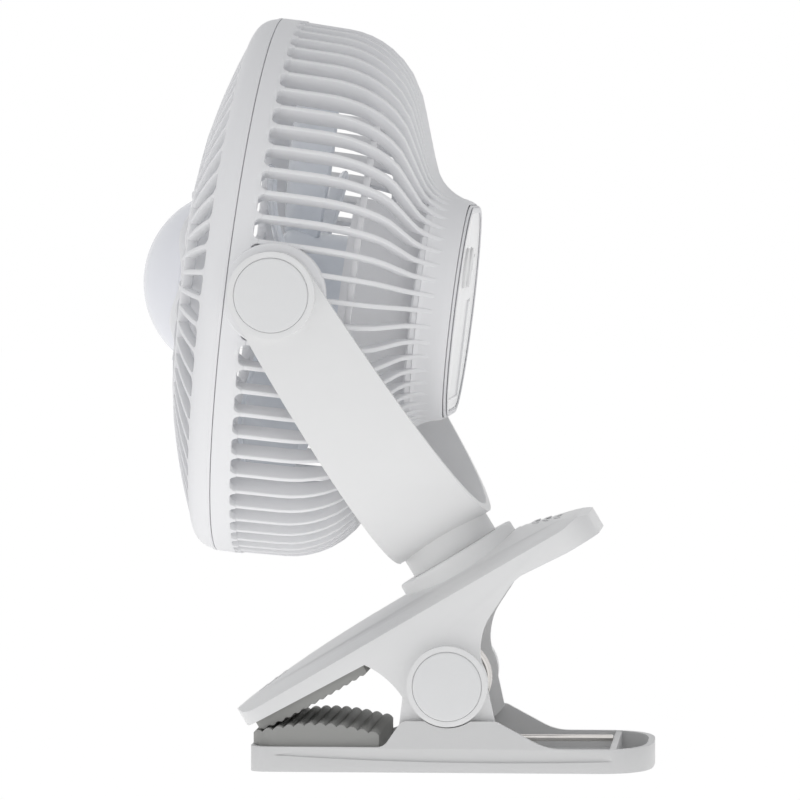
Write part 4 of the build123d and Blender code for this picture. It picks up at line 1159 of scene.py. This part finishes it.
@dataclass
class FrontGrille:
    """The domed front: bezel, ribs, middle ring and the lamp's lobed collar."""

    sizes: HeadSizes
    ribs_round: int = 60
    rib: float = 2.0
    rib_depth: float = 4.4
    lip: float = 3.8
    floor: float = 14.5
    crest: float = 28.3
    valley: float = 25.4
    lobes: int = 6
    lens_rim: float = 31.4
    tongue: float = 4.0

    def height(self, radius: float) -> float:
        """Height of the face at a radius."""
        share = (max(radius, self.sizes.hub) - self.sizes.hub) / (self.sizes.bezel_inner - self.sizes.hub)
        return self.sizes.ahead + self.sizes.rise - (self.sizes.rise - self.sizes.bezel_depth) * share**1.8

    def bezel(self) -> Piece:
        """The outer ring, rounded over from the seam to its open front.

        Returns:
            The bezel.
        """
        ring = self.sizes.ring
        seam = self.sizes.ahead
        inner = self.sizes.bezel_inner
        rear = seam + self.sizes.gap
        front = seam + self.sizes.bezel_depth
        outline = [
            (ring - 1.9, rear), (ring - 0.35, rear), (ring - 0.08, rear + 0.1), (ring, rear + 0.35),
            (ring - 0.18, seam + 1.5), (ring - 0.42, seam + 1.62), (ring - 0.75, seam + self.lip - 0.8),
            (ring - 1.2, seam + 4.6), (ring - 1.95, seam + 6.1), (ring - 3.0, seam + 7.5),
            (ring - 4.3, seam + 8.6), (ring - 5.7, seam + 9.35), (inner + 0.5, front),
            (inner + 0.1, front - 0.15), (inner, front - 0.6), (inner, front - 4.5), (ring - 4.5, seam),
            (ring - 4.5, seam - self.tongue), (ring - 2.4, seam - self.tongue), (ring - 2.4, seam),
            (ring - 1.9, seam),
        ]
        return BENCH.spun("bezel", outline, 180)

    def rib_set(self, count: int, inner: float, outer: float, offset: float) -> Piece:
        """Radial ribs that follow the face.

        Args:
            count: How many.
            inner: Radius of their inner ends.
            outer: Radius of their outer ends.
            offset: The first one's place as a share of the pitch.

        Returns:
            All of them as one piece.
        """
        radii = [inner - 0.9 + (outer - inner + 1.8) * step / 9 for step in range(10)]
        face = [(radius, self.height(radius) - 0.12) for radius in radii]
        back = [(radius, height - self.rib_depth) for radius, height in reversed(face)]
        outline = [(x, -self.rib / 2, z) for x, z in face + back]
        rib = BENCH.round_edges(BENCH.slab("rib", outline, (0, self.rib, 0)), 0.5, 2, 40)
        return BENCH.ring_of(BENCH.posed(rib, (0.0, 0.0, FULL_TURN * offset / count)), count)

    def slot_ends(self) -> Piece:
        """The cusps that round the slots' outer ends at the bezel.

        Returns:
            All the cusps as one piece.
        """
        inner = self.sizes.bezel_inner
        pitch = FULL_TURN * inner / self.ribs_round
        reach = (pitch - self.rib) / 2
        turns = [math.pi / 2 * step / 6 for step in range(7)]
        side = [
            (pitch / 2 - reach * math.sin(turn), inner - reach * 0.9 * (1 - math.cos(turn))) for turn in turns
        ]
        outline = [(-pitch / 2, inner + 0.8), (pitch / 2, inner + 0.8), *side]
        outline += [(-y, x) for y, x in reversed(side)]
        top = self.height(inner)
        slope = (self.height(inner - 6.0) - top) / 6.0
        points = [(x, y, top - 0.1 + slope * (inner - x)) for y, x in outline]
        cusp = BENCH.round_edges(BENCH.slab("cusp", points, (0, 0, -3.6)), 0.35, 2, 40)
        return BENCH.ring_of(BENCH.posed(cusp, (0.0, 0.0, FULL_TURN / self.ribs_round / 2)), self.ribs_round)

    def mid_ring(self) -> Piece:
        """The ring where the ribs halve in number.

        Returns:
            The ring.
        """
        radius = self.sizes.mid_ring
        top = self.height(radius)
        half = self.rib / 2
        outline = [(radius + half, top - 0.3), (radius, top), (radius - half, top)]
        outline += [(radius - half, top - self.rib_depth), (radius + half, top - self.rib_depth)]
        return BENCH.round_edges(BENCH.spun("middle", outline, 144), 0.4, 2, 40)

    def collar(self) -> Piece:
        """The hub with its lobed rim round the lamp.

        Returns:
            The hub with its rim.
        """
        seam = self.sizes.ahead
        hub = self.sizes.hub
        rim = self.lens_rim + 0.15
        foot = seam + self.floor
        middle = seam + (self.crest + self.valley) / 2
        outline = [(0.0, foot - 2.4), (hub - 0.6, foot - 2.4), (hub, foot - 1.8), (hub + 0.2, seam + 20.0)]
        outline += [(hub, middle - 2.2), (hub - 0.45, middle - 0.7), (hub - 1.3, middle), (rim + 0.4, middle)]
        outline += [(rim, middle - 0.35), (rim, foot), (0.0, foot)]
        steps = 144
        collar = BENCH.spun("collar", outline, steps, False)
        swing = (self.crest - self.valley) / 2
        for step in range(steps):
            angle = FULL_TURN * step / steps
            lift = swing * math.cos(self.lobes * angle)

            def rim_here(place: Vector) -> bool:
                if place.z < middle - 3.0 or math.hypot(place.x, place.y) < rim - 0.1:
                    return False
                away = (math.atan2(place.y, place.x) - angle) % FULL_TURN
                return min(away, FULL_TURN - away) < math.pi / steps

            BENCH.edit(collar, rim_here)
            bpy.ops.transform.translate(value=(0, 0, lift * MM))
            BENCH.done()
        return BENCH.tidy(collar)

    def build(self) -> None:
        """Model, place and dress the grille."""
        parts = [
            self.bezel(), self.slot_ends(), self.mid_ring(), self.collar(),
            self.rib_set(self.ribs_round, self.sizes.mid_ring, self.sizes.bezel_inner, 0.5),
            self.rib_set(self.ribs_round // 2, self.sizes.hub, self.sizes.mid_ring, 0.25),
        ]
        grille = BENCH.smooth(BENCH.joined("front_grille.body", parts), 38)
        finish_piece(BENCH.placed(grille, HEAD), Finish.SHELL, "head", ["front_grille"])


@dataclass
class Lamp:
    """The domed diffuser in the hub."""

    sizes: HeadSizes
    radius: float = 37.4
    centre: float = 6.2
    rim: float = 31.35
    floor: float = 14.5
    wall: float = 2.0

    def build(self) -> None:
        """Model, place and dress the dome."""
        seam = self.sizes.ahead
        reach = math.degrees(math.asin(self.rim / self.radius))
        middle = (0.0, seam + self.centre)
        outside = arc(middle, self.radius, 90, 90 - reach, 28)
        inside = arc(middle, self.radius - self.wall, 90 - reach, 90, 16)
        outline = outside + [(self.rim, seam + self.floor), (self.rim - self.wall, seam + self.floor)]
        outline += [(min(x, self.rim - self.wall), z) for x, z in inside]
        dome = BENCH.spun("lamp_lens.dome", outline, 128, False)
        BENCH.smooth(dome, 30)
        finish_piece(BENCH.placed(dome, HEAD), Finish.LENS, "head", ["lamp_lens"])


@dataclass
class Impeller:
    """The cup hub with its twisted blades."""

    sizes: HeadSizes
    pod_front: float = -21.5
    stand_off: float = 5.0
    hub: float = 24.0
    length: float = 26.0
    radius: float = 96.8
    blades: int = 5
    thickness: float = 1.8
    root_chord: float = 24.0
    tip_chord: float = 60.0
    root_pitch: float = 38.0
    tip_pitch: float = 18.0
    camber: float = 0.08
    tip_round: float = 0.42
    tip_start: float = 0.72
    blade_ahead: float = 4.5
    skirt: float = 4.4

    def blade(self) -> Piece:
        """One blade: a grid whose rows are widened, bowed, turned and rounded off at the tip.

        Returns:
            The blade, about the fan's axis.
        """
        rows = 14
        columns = 12
        root = self.hub - self.thickness
        span = self.radius - root
        BENCH.clear()
        bpy.ops.mesh.primitive_grid_add(
            x_subdivisions=rows, y_subdivisions=columns, size=MM, location=((root + span / 2) * MM, 0, 0)
        )
        blade = bpy.context.object
        bpy.ops.transform.resize(value=(span, 1, 1))
        bpy.ops.object.transform_apply(location=True, scale=True)
        for column in range(columns + 1):
            across = column / columns - 0.5
            BENCH.edit(blade, lambda place: abs(place.y - across) < 0.01)
            bpy.ops.transform.translate(value=(0, 0, self.camber * (1 - 4 * across**2) * MM))
            BENCH.done()
        for row in range(rows + 1):
            share = row / rows
            radius = root + span * share
            chord = self.root_chord + (self.tip_chord - self.root_chord) * share
            chord *= 1 - self.tip_round * max(0.0, (share - self.tip_start) / (1 - self.tip_start)) ** 2.4
            pitch = math.radians(self.root_pitch + (self.tip_pitch - self.root_pitch) * share)
            BENCH.edit(blade, lambda place: abs(place.x - radius) < span / rows / 3)
            bpy.ops.transform.resize(value=(1, chord, chord), center_override=(radius * MM, 0, 0))
            bpy.ops.transform.rotate(value=-pitch, orient_axis="X", center_override=(radius * MM, 0, 0))
            BENCH.done()
        BENCH.modified(blade, "SOLIDIFY", thickness=self.thickness * MM, offset=0.0)
        return BENCH.round_edges(BENCH.tidy(blade), 0.5, 2, 50)

    def build(self) -> None:
        """Model, place and dress the impeller."""
        low = self.pod_front + self.stand_off
        high = low + self.length
        hub = self.hub
        outline = [
            (0.0, high), (hub - 6.0, high), (hub - 3.2, high - 0.6), (hub - 1.0, high - 2.4),
            (hub, high - 5.0), (hub, low - self.skirt), (hub - 2.4, low - self.skirt),
            (hub - 2.4, low - 3.0), (1.6, low - 3.0), (1.6, high - 2.4), (0.0, high - 2.4),
        ]
        cup = BENCH.spun("cup", outline, 96, False)
        blade = self.blade()
        BENCH.edit(blade)
        bpy.ops.transform.translate(value=(0, 0, (low + self.length / 2 + self.blade_ahead) * MM))
        BENCH.done()
        wheel = BENCH.joined("impeller.wheel", [cup, BENCH.ring_of(blade, self.blades)])
        BENCH.smooth(wheel, 40)
        finish_piece(BENCH.placed(wheel, HEAD), Finish.BLADE, "fan", ["impeller"])


@dataclass
class BackPanel:
    """The cover at the back with its keys and lamps."""

    sizes: HeadSizes
    panel: float = -67.5
    set_back: float = 0.6
    cover: float = 2.2
    key: float = 8.0
    proud: float = 1.0
    rise: float = 17.6
    keys: tuple[tuple[str, float], ...] = (("power", -27.0), ("lamp", 0.0))
    dot: float = 0.95
    dots: tuple[Pair, ...] = ((22.0, 30.0), (4.0, 30.0))

    def key_cap(self, name: str, place: float) -> None:
        """One push key with a dished face and a flange behind the cover.

        Args:
            name: The key's name.
            place: Its place across.
        """
        outside = self.panel + self.set_back
        inside = outside + self.cover
        face = outside - self.proud
        outline = [(0.0, face + 0.35), (3.0, face + 0.3), (5.4, face + 0.12), (6.8, face), (7.5, face + 0.06)]
        outline += [(self.key - 0.12, face + 0.35), (self.key, face + 0.8), (self.key, inside + 0.15)]
        outline += [(self.key + 1.2, inside + 0.15), (self.key + 1.2, inside + 1.2), (0.0, inside + 1.2)]
        cap = BENCH.spun(f"{name}_button.cap", outline, 72, False)
        cap.location = (self.rise * MM, place * MM, 0)
        BENCH.smooth(BENCH.placed(cap, HEAD), 40)
        finish_piece(cap, Finish.KEY, f"{name}_key", [f"{name}_button"])

    def build(self) -> None:
        """Model, place and dress the panel's pieces."""
        cover = BENCH.smooth(BENCH.softened("back_cover", 0.3, 2), 40)
        finish_piece(cover, Finish.GLOSS, "head", ["back_cover"])
        for name, place in self.keys:
            self.key_cap(name, place)
        face = self.panel + self.set_back
        rim = self.dot
        outline = [(0.0, face - 0.1), (0.7, face - 0.08), (rim, face + 0.05), (rim, face + 0.4)]
        outline.append((0.0, face + 0.4))
        dots = [
            BENCH.posed(BENCH.spun("dot", outline, 24, False), (0.0, 0.0, 0.0), (up, side, 0.0))
            for up, side in self.dots
        ]
        lamps = BENCH.smooth(BENCH.placed(BENCH.joined("charge_lamps", dots), HEAD), 40)
        finish_piece(lamps, Finish.DARK, "head")


# --- yoke and clip ---
def round_caps(name: str, radius: float, face: float, centre: Point = (0.0, 0.0, 0.0)) -> Piece:
    """Two flat round caps with a rolled edge, one at each side.

    Args:
        name: Their name.
        radius: Their radius.
        face: How far out the face that they are set into lies.
        centre: Their common centre.

    Returns:
        Both caps as one piece.
    """
    inside = face - CAP_DEPTH
    outside = face + CAP_PROUD
    outline = [(0.0, outside), (radius - 1.2, outside), (radius - 0.4, outside - 0.12)]
    outline += [(radius, outside - 0.55), (radius, inside), (0.0, inside)]
    cap = BENCH.posed(BENCH.spun(name, outline, 96, False), ACROSS, centre)
    return BENCH.mirrored(cap, False, True)


@dataclass
class Yoke:
    """The hoop that carries the head, with its knobs and foot."""

    edge: float = 0.9
    foot: float = 18.8
    foot_end: float = -122.083
    foot_gap: float = 0.27
    knob_face: float = 119.383
    cap: float = 14.2

    def shoe(self) -> Piece:
        """The foot's lowest part, which all but touches the swivel plate.

        Returns:
            The shoe.
        """
        low = self.foot_end - self.foot_gap
        high = low + 2.0
        outline = [(0.0, low), (self.foot - 0.12, low), (self.foot, low + 0.12)]
        outline += [(self.foot, high), (0.0, high)]
        return BENCH.placed(BENCH.spun("shoe", outline, 96, False), YOKE)

    def build(self) -> None:
        """Model, place and dress the yoke."""
        hoop = BENCH.joined("yoke_hoop.body", [BENCH.softened("yoke_hoop", self.edge, 3), self.shoe()])
        finish_piece(BENCH.smooth(hoop, 40), Finish.CLIP, "yoke", ["yoke_hoop"])
        caps = round_caps("knob_caps.discs", self.cap, self.knob_face)
        finish_piece(BENCH.smooth(BENCH.placed(caps, YOKE), 35), Finish.CAP, "yoke", ["knob_caps"])
        for node in ("tilt_screws", "tilt_washers", "swivel_washer", "swivel_screw"):
            dress_node(node, Finish.STEEL)


@dataclass
class Lever:
    """The upper half of the clip with its swivel plate, pad and hinge caps."""

    edge: float = 0.8
    half: float = 39.0
    plate: float = 25.4
    handle_sag: float = 1.6
    handle_root: float = 28.0
    handle_bend: float = 14.0
    pad_front: float = -99.4
    pad_length: float = 48.2
    pad_back: float = 2.9
    pad_swell: float = 1.1
    tooth: float = 0.75
    teeth: int = 13
    waist: Pair = (10.7, 53.1)
    waist_radius: float = 9.0
    rear_root: Pair = (25.6, 75.9)
    rear_radius: float = 3.5
    boss_face: float = 45.0
    cap: float = 13.6
    nose: float = 106.2
    nose_length: float = 55.8
    nose_depth: float = 11.8
    nose_fall: float = 2.8
    grips: tuple[tuple[float, float, float, float], ...] = ((33.0, 4.2, 24.0, 2.4), (-92.0, 4.6, 30.0, -2.4))

    def sag(self, along: float) -> float:
        """How far the handle's top lies below the solid's at a place along the lever."""
        return self.handle_sag * min(1.0, max(0.0, (along - self.handle_root) / self.handle_bend))

    def lowered_handle(self, shell: Piece) -> Piece:
        """Bend the handle down in bands along the lever.

        Args:
            shell: The lever's shell.

        Returns:
            The same shell.
        """
        inverse = LEVER.inverted()
        bands = [self.handle_root + 3.0 * step for step in range(11)]
        for low, high in zip(bands, bands[1:]):
            BENCH.edit(shell, lambda place: low < (inverse @ (place * MM)).x / MM <= high)
            shift = LEVER.to_3x3() @ Vector((-0.5 * self.sag(high), 0, -self.sag(high)))
            bpy.ops.transform.translate(value=shift * MM)
            BENCH.done()
        return shell

    def skirt(self) -> Piece:
        """The swivel plate's lower rim, down over the pedestal's edge.

        Returns:
            The rim.
        """
        radius = self.plate
        outline = [(radius - 2.0, -1.4), (radius + 0.02, -1.4), (radius + 0.02, 0.9), (radius - 2.0, 0.9)]
        return BENCH.placed(BENCH.spun("skirt", outline, 96), LEVER)

    def edge_line(self, place: float) -> float:
        """Depth of the nose's lower edge at a place along the lever."""
        return -self.nose_depth - self.nose_fall * (place + self.nose) / self.nose_length

    def toothed_pad(self) -> Piece:
        """The rubber under the nose: a bowed back with rows of round teeth.

        Returns:
            The pad.
        """
        steps = 8 * self.teeth
        outline = [(self.pad_front, self.edge_line(self.pad_front) + 2.6)]
        for step in range(steps + 1):
            share = step / steps
            place = self.pad_front + self.pad_length * share
            depth = self.pad_back + self.pad_swell * math.sin(math.pi * share**0.6)
            depth += self.tooth * (1 - math.cos(FULL_TURN * share * self.teeth)) / 2
            outline.append((place, self.edge_line(place) - depth))
        rear = self.pad_front + self.pad_length
        outline.append((rear, self.edge_line(rear) + 2.6))
        half = self.half - 3.4
        pad = BENCH.slab("upper_pad.rubber", [(x, -half, z) for x, z in outline], (0, 2 * half, 0))
        BENCH.round_edges(pad, 0.3, 2, 60)
        return BENCH.smooth(BENCH.placed(pad, LEVER), 50)

    def surface(self, along: float, across: float) -> float:
        """Height of the lever's arched top at a place, from its own shell.

        Args:
            along: The place along the lever.
            across: The place across it.

        Returns:
            The height, in the lever's frame.
        """
        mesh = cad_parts["lever_shell"].data
        corners = [vertex.co for vertex in mesh.vertices]
        tree = BVHTree.FromPolygons(corners, [tuple(face.vertices) for face in mesh.polygons])
        start = LEVER @ (Vector((along, across, 40.0)) * MM)
        point = tree.ray_cast(start, -(LEVER.to_3x3() @ Vector((0, 0, 1))))[0]
        return (LEVER.inverted() @ point).z / MM - self.sag(along)

    def ridge(self, along: float, across: float, length: float, lean: float) -> Piece:
        """One low curved ridge on the top.

        Args:
            along: Its middle along the lever.
            across: Its middle across.
            length: Its length.
            lean: How far its ends bow along the lever.

        Returns:
            The ridge in the lever's frame.
        """
        spine = []
        for step in range(9):
            share = step / 4 - 1
            x = along + lean * share**2
            y = across + length / 2 * share
            spine.append((x, y, self.surface(x, y)))
        front = [(x - 0.55, y, z - 0.25) for x, y, z in spine]
        back = [(x + 0.55, y, z - 0.25) for x, y, z in reversed(spine)]
        ridge = BENCH.slab("ridge", front + back, (0, 0, 0.55))
        return BENCH.round_edges(ridge, 0.2, 2, 40)

    def ridges(self) -> Piece:
        """Grip ridges on the handle and at the nose, in rows of three.

        Returns:
            All the ridges as one piece.
        """
        rows = [
            self.ridge(first + pitch * step, 0.0, length - 3.0 * abs(step - 1), lean)
            for first, pitch, length, lean in self.grips for step in range(3)
        ]
        return BENCH.smooth(BENCH.placed(BENCH.joined("grip_ridges", rows), LEVER), 40)

    def build(self) -> None:
        """Model, place and dress the lever."""
        shell = BENCH.round_corner(BENCH.copied("lever_shell"), self.waist, self.waist_radius)
        BENCH.round_corner(shell, self.rear_root, self.rear_radius)
        shell = BENCH.smooth(BENCH.round_edges(self.lowered_handle(shell), self.edge, 3), 40)
        finish_piece(shell, Finish.CLIP, "lever", ["lever_shell"])
        plate = BENCH.joined("swivel_plate.body", [BENCH.softened("swivel_plate", 0.5, 3), self.skirt()])
        finish_piece(BENCH.smooth(plate, 40), Finish.CLIP, "lever", ["swivel_plate"])
        caps = round_caps("pivot_caps.discs", self.cap, self.boss_face, HINGE)
        finish_piece(BENCH.smooth(caps, 35), Finish.CAP, "lever", ["pivot_caps"])
        finish_piece(self.toothed_pad(), Finish.RUBBER, "lever", ["upper_pad"])
        finish_piece(self.ridges(), Finish.CLIP, "lever")


@dataclass
class Base:
    """The lower half of the clip."""

    edge: float = 0.7
    half: float = 43.0
    front: float = -78.6
    rear: float = 80.0
    wall: float = 2.6
    floor: float = 2.5
    front_rim: float = 9.9
    rear_rim: float = 9.5
    shoulder: float = 20.3
    rear_start: float = 58.0
    scoop: float = 16.5
    lug: float = 9.0
    lug_foot: float = 17.0
    lug_sides: Pair = (31.0, 34.5)
    bore: float = 2.55
    corner: float = 7.0
    bow_powers: Pair = (3.2, 2.2)
    rear_slope: float = 38.6
    shoulder_half: float = 18.6
    front_slope: float = 25.7
    stop: Point = (63.25, 65.75, 9.3)
    coil: float = 8.0
    facet_ends: tuple[Pair, Pair] = ((-68.7, 6.6), (67.8, 4.8))
    facet_top: float = 9.2
    facet_fall: float = 1.6
    facet_depth: float = 1.1
    facet_crest: float = 9.8
    facet_height: float = 5.7
    pad_front: float = -78.2
    pad_length: float = 50.6
    pad_end: float = 14.2
    pad_crown: float = 3.8
    pad_corner: float = 11.0
    pad_ribs: int = 12
    rib_height: float = 1.15

    def plan(self, inset: float, low: float, high: float) -> Piece:
        """A block of the base's plan, with round front corners and a bowed rear end.

        Args:
            inset: How far it is drawn in.
            low: Its lower face.
            high: Its upper face.

        Returns:
            The block.
        """
        half = self.half - inset
        corner = self.corner - inset
        front = self.front + inset
        ends = [(front, half, corner), (front, -half, corner), (0.0, -half, 0.0), (0.0, half, 0.0)]
        start = rounded(ends)[:-2]
        across, along = self.bow_powers
        bow = []
        for step in range(41):
            side = -math.cos(math.pi * step / 40)
            reach = (1 - abs(side) ** across) ** (1 / along)
            bow.append((self.rear_start + (self.rear - inset - self.rear_start) * reach, half * side))
        return BENCH.slab("plan", [(x, y, low) for x, y in start + bow], (0, 0, high - low))

    def bar(self, radius: float, start: float, end: float) -> Piece:
        """A round bar across, through the hinge."""
        bar = BENCH.spun("bar", [(0.0, start), (radius, start), (radius, end), (0.0, end)], 64, False)
        return BENCH.posed(bar, ACROSS, HINGE)

    def side_slab(self, outline: Sequence[Pair], start: float, end: float) -> Piece:
        """Extrude a side view's outline across from one place to another."""
        return BENCH.slab("side", [(x, start, z) for x, z in outline], (0, end - start, 0))

    def facet(self) -> Piece:
        """The hollow that is planed off each long side, deepest along its lower edge.

        Returns:
            The cutting pieces of both sides.
        """
        steps = 32
        (first, first_height), (last, last_height) = self.facet_ends
        top = []
        bottom = []
        for step in range(1, steps):
            share = step / steps
            x = first + (last - first) * share
            tip = first_height + (last_height - first_height) * share
            middle = 2 * share - 1
            top.append((x, tip + (self.facet_top - tip) * (1 - middle**6)))
            bottom.append((x, tip - self.facet_fall * (1 - middle**2)))
        outline = [(first, first_height), *top, (last, last_height), *reversed(bottom)]
        face = self.half - 0.05
        sink = [self.facet_depth * (self.facet_crest - z) / self.facet_height for _, z in outline]
        points = [(x, -face + depth, z) for (x, z), depth in zip(outline, sink)]
        return BENCH.mirrored(BENCH.slab("facet", points, (0, -4.0, 0)), False, True)

    def shell(self) -> Piece:
        """The open tray with its hinge shoulders, lugs and the rib that stops the spring.

        Returns:
            The tray.
        """
        profile = rounded([
            (self.front - 1, -1.0, 0), (self.rear + 1, -1.0, 0), (self.rear + 1, self.rear_rim, 0),
            (self.rear_slope, self.rear_rim, 22.0), (self.shoulder_half, self.shoulder, 4.5),
            (-self.shoulder_half, self.shoulder, 4.0), (-self.front_slope, self.front_rim, 5.0),
            (self.front - 1, self.front_rim, 0),
        ])
        tray = self.side_slab(profile, -self.half - 1, self.half + 1)
        BENCH.cut(tray, self.plan(0.0, 0.0, 40.0), "INTERSECT")
        BENCH.cut(tray, self.plan(self.wall, self.floor, 50.0))
        BENCH.cut(tray, self.bar(self.scoop, -60.0, 60.0))
        BENCH.cut(tray, self.facet())
        inside, outside = self.lug_sides
        foot = self.floor - 0.6
        web = [(HINGE[0] - self.lug_foot, foot), (HINGE[0] + self.lug_foot, foot)]
        web += [(HINGE[0] + self.lug, HINGE[2]), (HINGE[0] - self.lug, HINGE[2])]
        lug = BENCH.cut(self.side_slab(web, inside, outside), self.bar(self.lug, inside, outside), "UNION")
        BENCH.cut(lug, self.bar(self.bore, inside - 1, outside + 1))
        BENCH.mirrored(lug, False, True)
        near, far, top = self.stop
        stop = [(near, foot), (far, foot), (far, top), (near, top)]
        side = self.half - self.wall
        BENCH.cut(tray, lug, "UNION")
        BENCH.cut(tray, self.side_slab(stop, -side - 0.5, side + 0.5), "UNION")
        tray.name = "base_shell.body"
        return BENCH.smooth(BENCH.round_edges(BENCH.tidy(tray), self.edge, 3), 40)

    def ribbed_pad(self) -> Piece:
        """The rubber in the front: round ribs over an arched back that laps the front wall.

        Returns:
            The pad.
        """
        lap = self.front_rim + 0.3
        low = self.floor + 0.1
        inner = self.front + self.wall + 0.3
        outline = [(inner, low), (inner, lap), (self.pad_front, lap)]
        steps = 8 * self.pad_ribs
        for step in range(steps + 1):
            share = step / steps
            rise = self.pad_end + self.pad_crown * math.sin(math.pi * share)
            rise += self.rib_height * abs(math.sin(math.pi * share * self.pad_ribs)) ** 0.8
            outline.append((self.pad_front + self.pad_length * share, rise))
        outline.append((self.pad_front + self.pad_length, low))
        half = self.half - self.wall - 0.35
        pad = self.side_slab(outline, -half, half)
        corners = [(self.pad_front, side, self.pad_corner) for side in (half, -half)]
        plan = rounded([*corners, (0.0, -half, 0), (0.0, half, 0)])
        BENCH.cut(pad, BENCH.slab("plan", [(x, y, 0.0) for x, y in plan], (0, 0, 40.0)), "INTERSECT")
        pad.name = "lower_pad.rubber"
        BENCH.round_edges(BENCH.tidy(pad), 0.3, 2, 62)
        return BENCH.smooth(pad, 50)

    def wire(self) -> Piece:
        """The spring with its six-sided wire rounded."""
        return BENCH.smooth(BENCH.softened("clip_spring", 0.45, 2), 50)

    def build(self) -> None:
        """Model, place and dress the base."""
        # The base is dressed in the darkened white, which paints in its shade.
        finish_piece(self.shell(), Finish.FOOT, "base", ["base_shell"])
        finish_piece(self.ribbed_pad(), Finish.RUBBER, "base", ["lower_pad"])
        low, high = (tuple(Vector((HINGE[0], 0.0, HINGE[2] + rise)) * MM) for rise in (-self.coil, self.coil))
        finish_piece(self.wire(), Finish.WIRE, "base", ["clip_spring"], ("lever", low, high))
        dress_node("clip_pin", Finish.STEEL)


@dataclass
class Insides:
    """What the head's shells hold, in its own shapes."""

    finishes: tuple[tuple[str, Finish], ...] = (
        ("circuit_board", Finish.BOARD), ("charging_port", Finish.STEEL), ("motor_pod", Finish.SHELL),
        ("motor", Finish.CAN), ("motor_screws", Finish.STEEL), ("battery_cells", Finish.SLEEVE),
        ("motor_shaft", Finish.STEEL), ("led_board", Finish.BOARD),
    )

    def build(self) -> None:
        """Dress each of them."""
        for node, finish in self.finishes:
            dress_node(node, finish)


# --- the photograph's setting ---
@dataclass
class Studio:
    """Camera, lamps, world and floor."""

    lens: float = 261.0
    camera: Point = (139.4, -2312.9, 227.1)
    look: Point = (-0.0696, 0.9970, -0.0353)
    lamp_size: float = 1400.0
    lamps: tuple[tuple[str, Point, float], ...] = (
        ("key", (-300.0, -900.0, 1500.0), 3.4), ("fill", (900.0, -1500.0, 500.0), 1.2),
        ("low", (-1500.0, -1300.0, 120.0), 3.2),
    )
    aim: Point = (-20.0, 0.0, 140.0)
    world: float = 0.46
    bounce: float = 1.4
    floor_size: float = 12000.0

    def add_camera(self) -> None:
        """Set the camera where the photograph was taken."""
        data = bpy.data.cameras.new("camera")
        data.lens = self.lens
        data.sensor_width = 36.0
        data.clip_end = 100.0
        camera = bpy.data.objects.new("camera", data)
        camera.location = Vector(self.camera) * MM
        camera.rotation_euler = Vector(self.look).to_track_quat("-Z", "Y").to_euler()
        bpy.context.scene.collection.objects.link(camera)
        bpy.context.scene.camera = camera

    def add_lamp(self, name: str, place: Point, power: float) -> None:
        """Add a soft square lamp that faces the fan.

        Args:
            name: The lamp's name.
            place: Where it stands.
            power: Its power in watts.
        """
        data = bpy.data.lights.new(name, "AREA")
        data.size = self.lamp_size * MM
        data.energy = power
        lamp = bpy.data.objects.new(name, data)
        lamp.location = Vector(place) * MM
        ray = Vector(self.aim) - Vector(place)
        lamp.rotation_euler = ray.to_track_quat("-Z", "Y").to_euler()
        bpy.context.scene.collection.objects.link(lamp)

    def add_world(self) -> None:
        """White behind the fan, and an even soft light from all round."""
        world = bpy.data.worlds.new("studio")
        bpy.context.scene.world = world
        world.use_nodes = True
        sky = NodeTree(world.node_tree)
        soft = {"Color": (0.97, 0.98, 1.0, 1.0), "Strength": self.world}
        light = sky.node("ShaderNodeBackground", {}, soft)
        white = sky.node("ShaderNodeBackground", {}, {"Color": (1.0, 1.0, 1.0, 1.0), "Strength": 1.0})
        mix = sky.node("ShaderNodeMixShader", {}, {0: sky.seen_directly(), 1: light, 2: white})
        sky.node("ShaderNodeOutputWorld", {}, {0: mix})

    def add_floor(self) -> None:
        """A pale floor that shows white to the camera, keeps a faint shadow and throws light up."""
        BENCH.clear()
        bpy.ops.mesh.primitive_grid_add(x_subdivisions=8, y_subdivisions=8, size=self.floor_size * MM)
        floor = bpy.context.object
        floor.name = "floor"
        shader = Shader("pale_floor")
        mottle = shader.noise(120.0, 3.0)
        shader.set(Base_Color=shader.tint(mottle, grey(0.9), grey(0.94)), Roughness=0.8)
        glow = shader.node("ShaderNodeEmission", {}, {"Strength": 1.0})
        bounce = shader.node("ShaderNodeEmission", {}, {"Strength": self.bounce})
        lit = shader.node("ShaderNodeMixShader", {}, {0: 0.6, 1: shader.surface, 2: bounce})
        seen = shader.seen_directly() * 0.96
        shader.finish(shader.node("ShaderNodeMixShader", {}, {0: seen, 1: lit, 2: glow}))
        floor.data.materials.append(shader.material)

    def build(self) -> None:
        """Set everything round the fan."""
        self.add_camera()
        self.add_world()
        self.add_floor()
        for name, place, power in self.lamps:
            self.add_lamp(name, place, power)
        bpy.context.scene.view_settings.view_transform = "Standard"


def main() -> None:
    """Build the fan's pieces in order."""
    logging.basicConfig(level=logging.INFO, format="%(message)s")
    sizes = HeadSizes()
    Studio().build()
    for assembly in (
        RearCage(sizes), FrontGrille(sizes), Lamp(sizes), Impeller(sizes), BackPanel(sizes),
        Yoke(), Lever(), Base(), Insides(),
    ):
        assembly.build()
        LOG.info("%s is built", type(assembly).__name__)


if __name__ == "__main__":
    main()
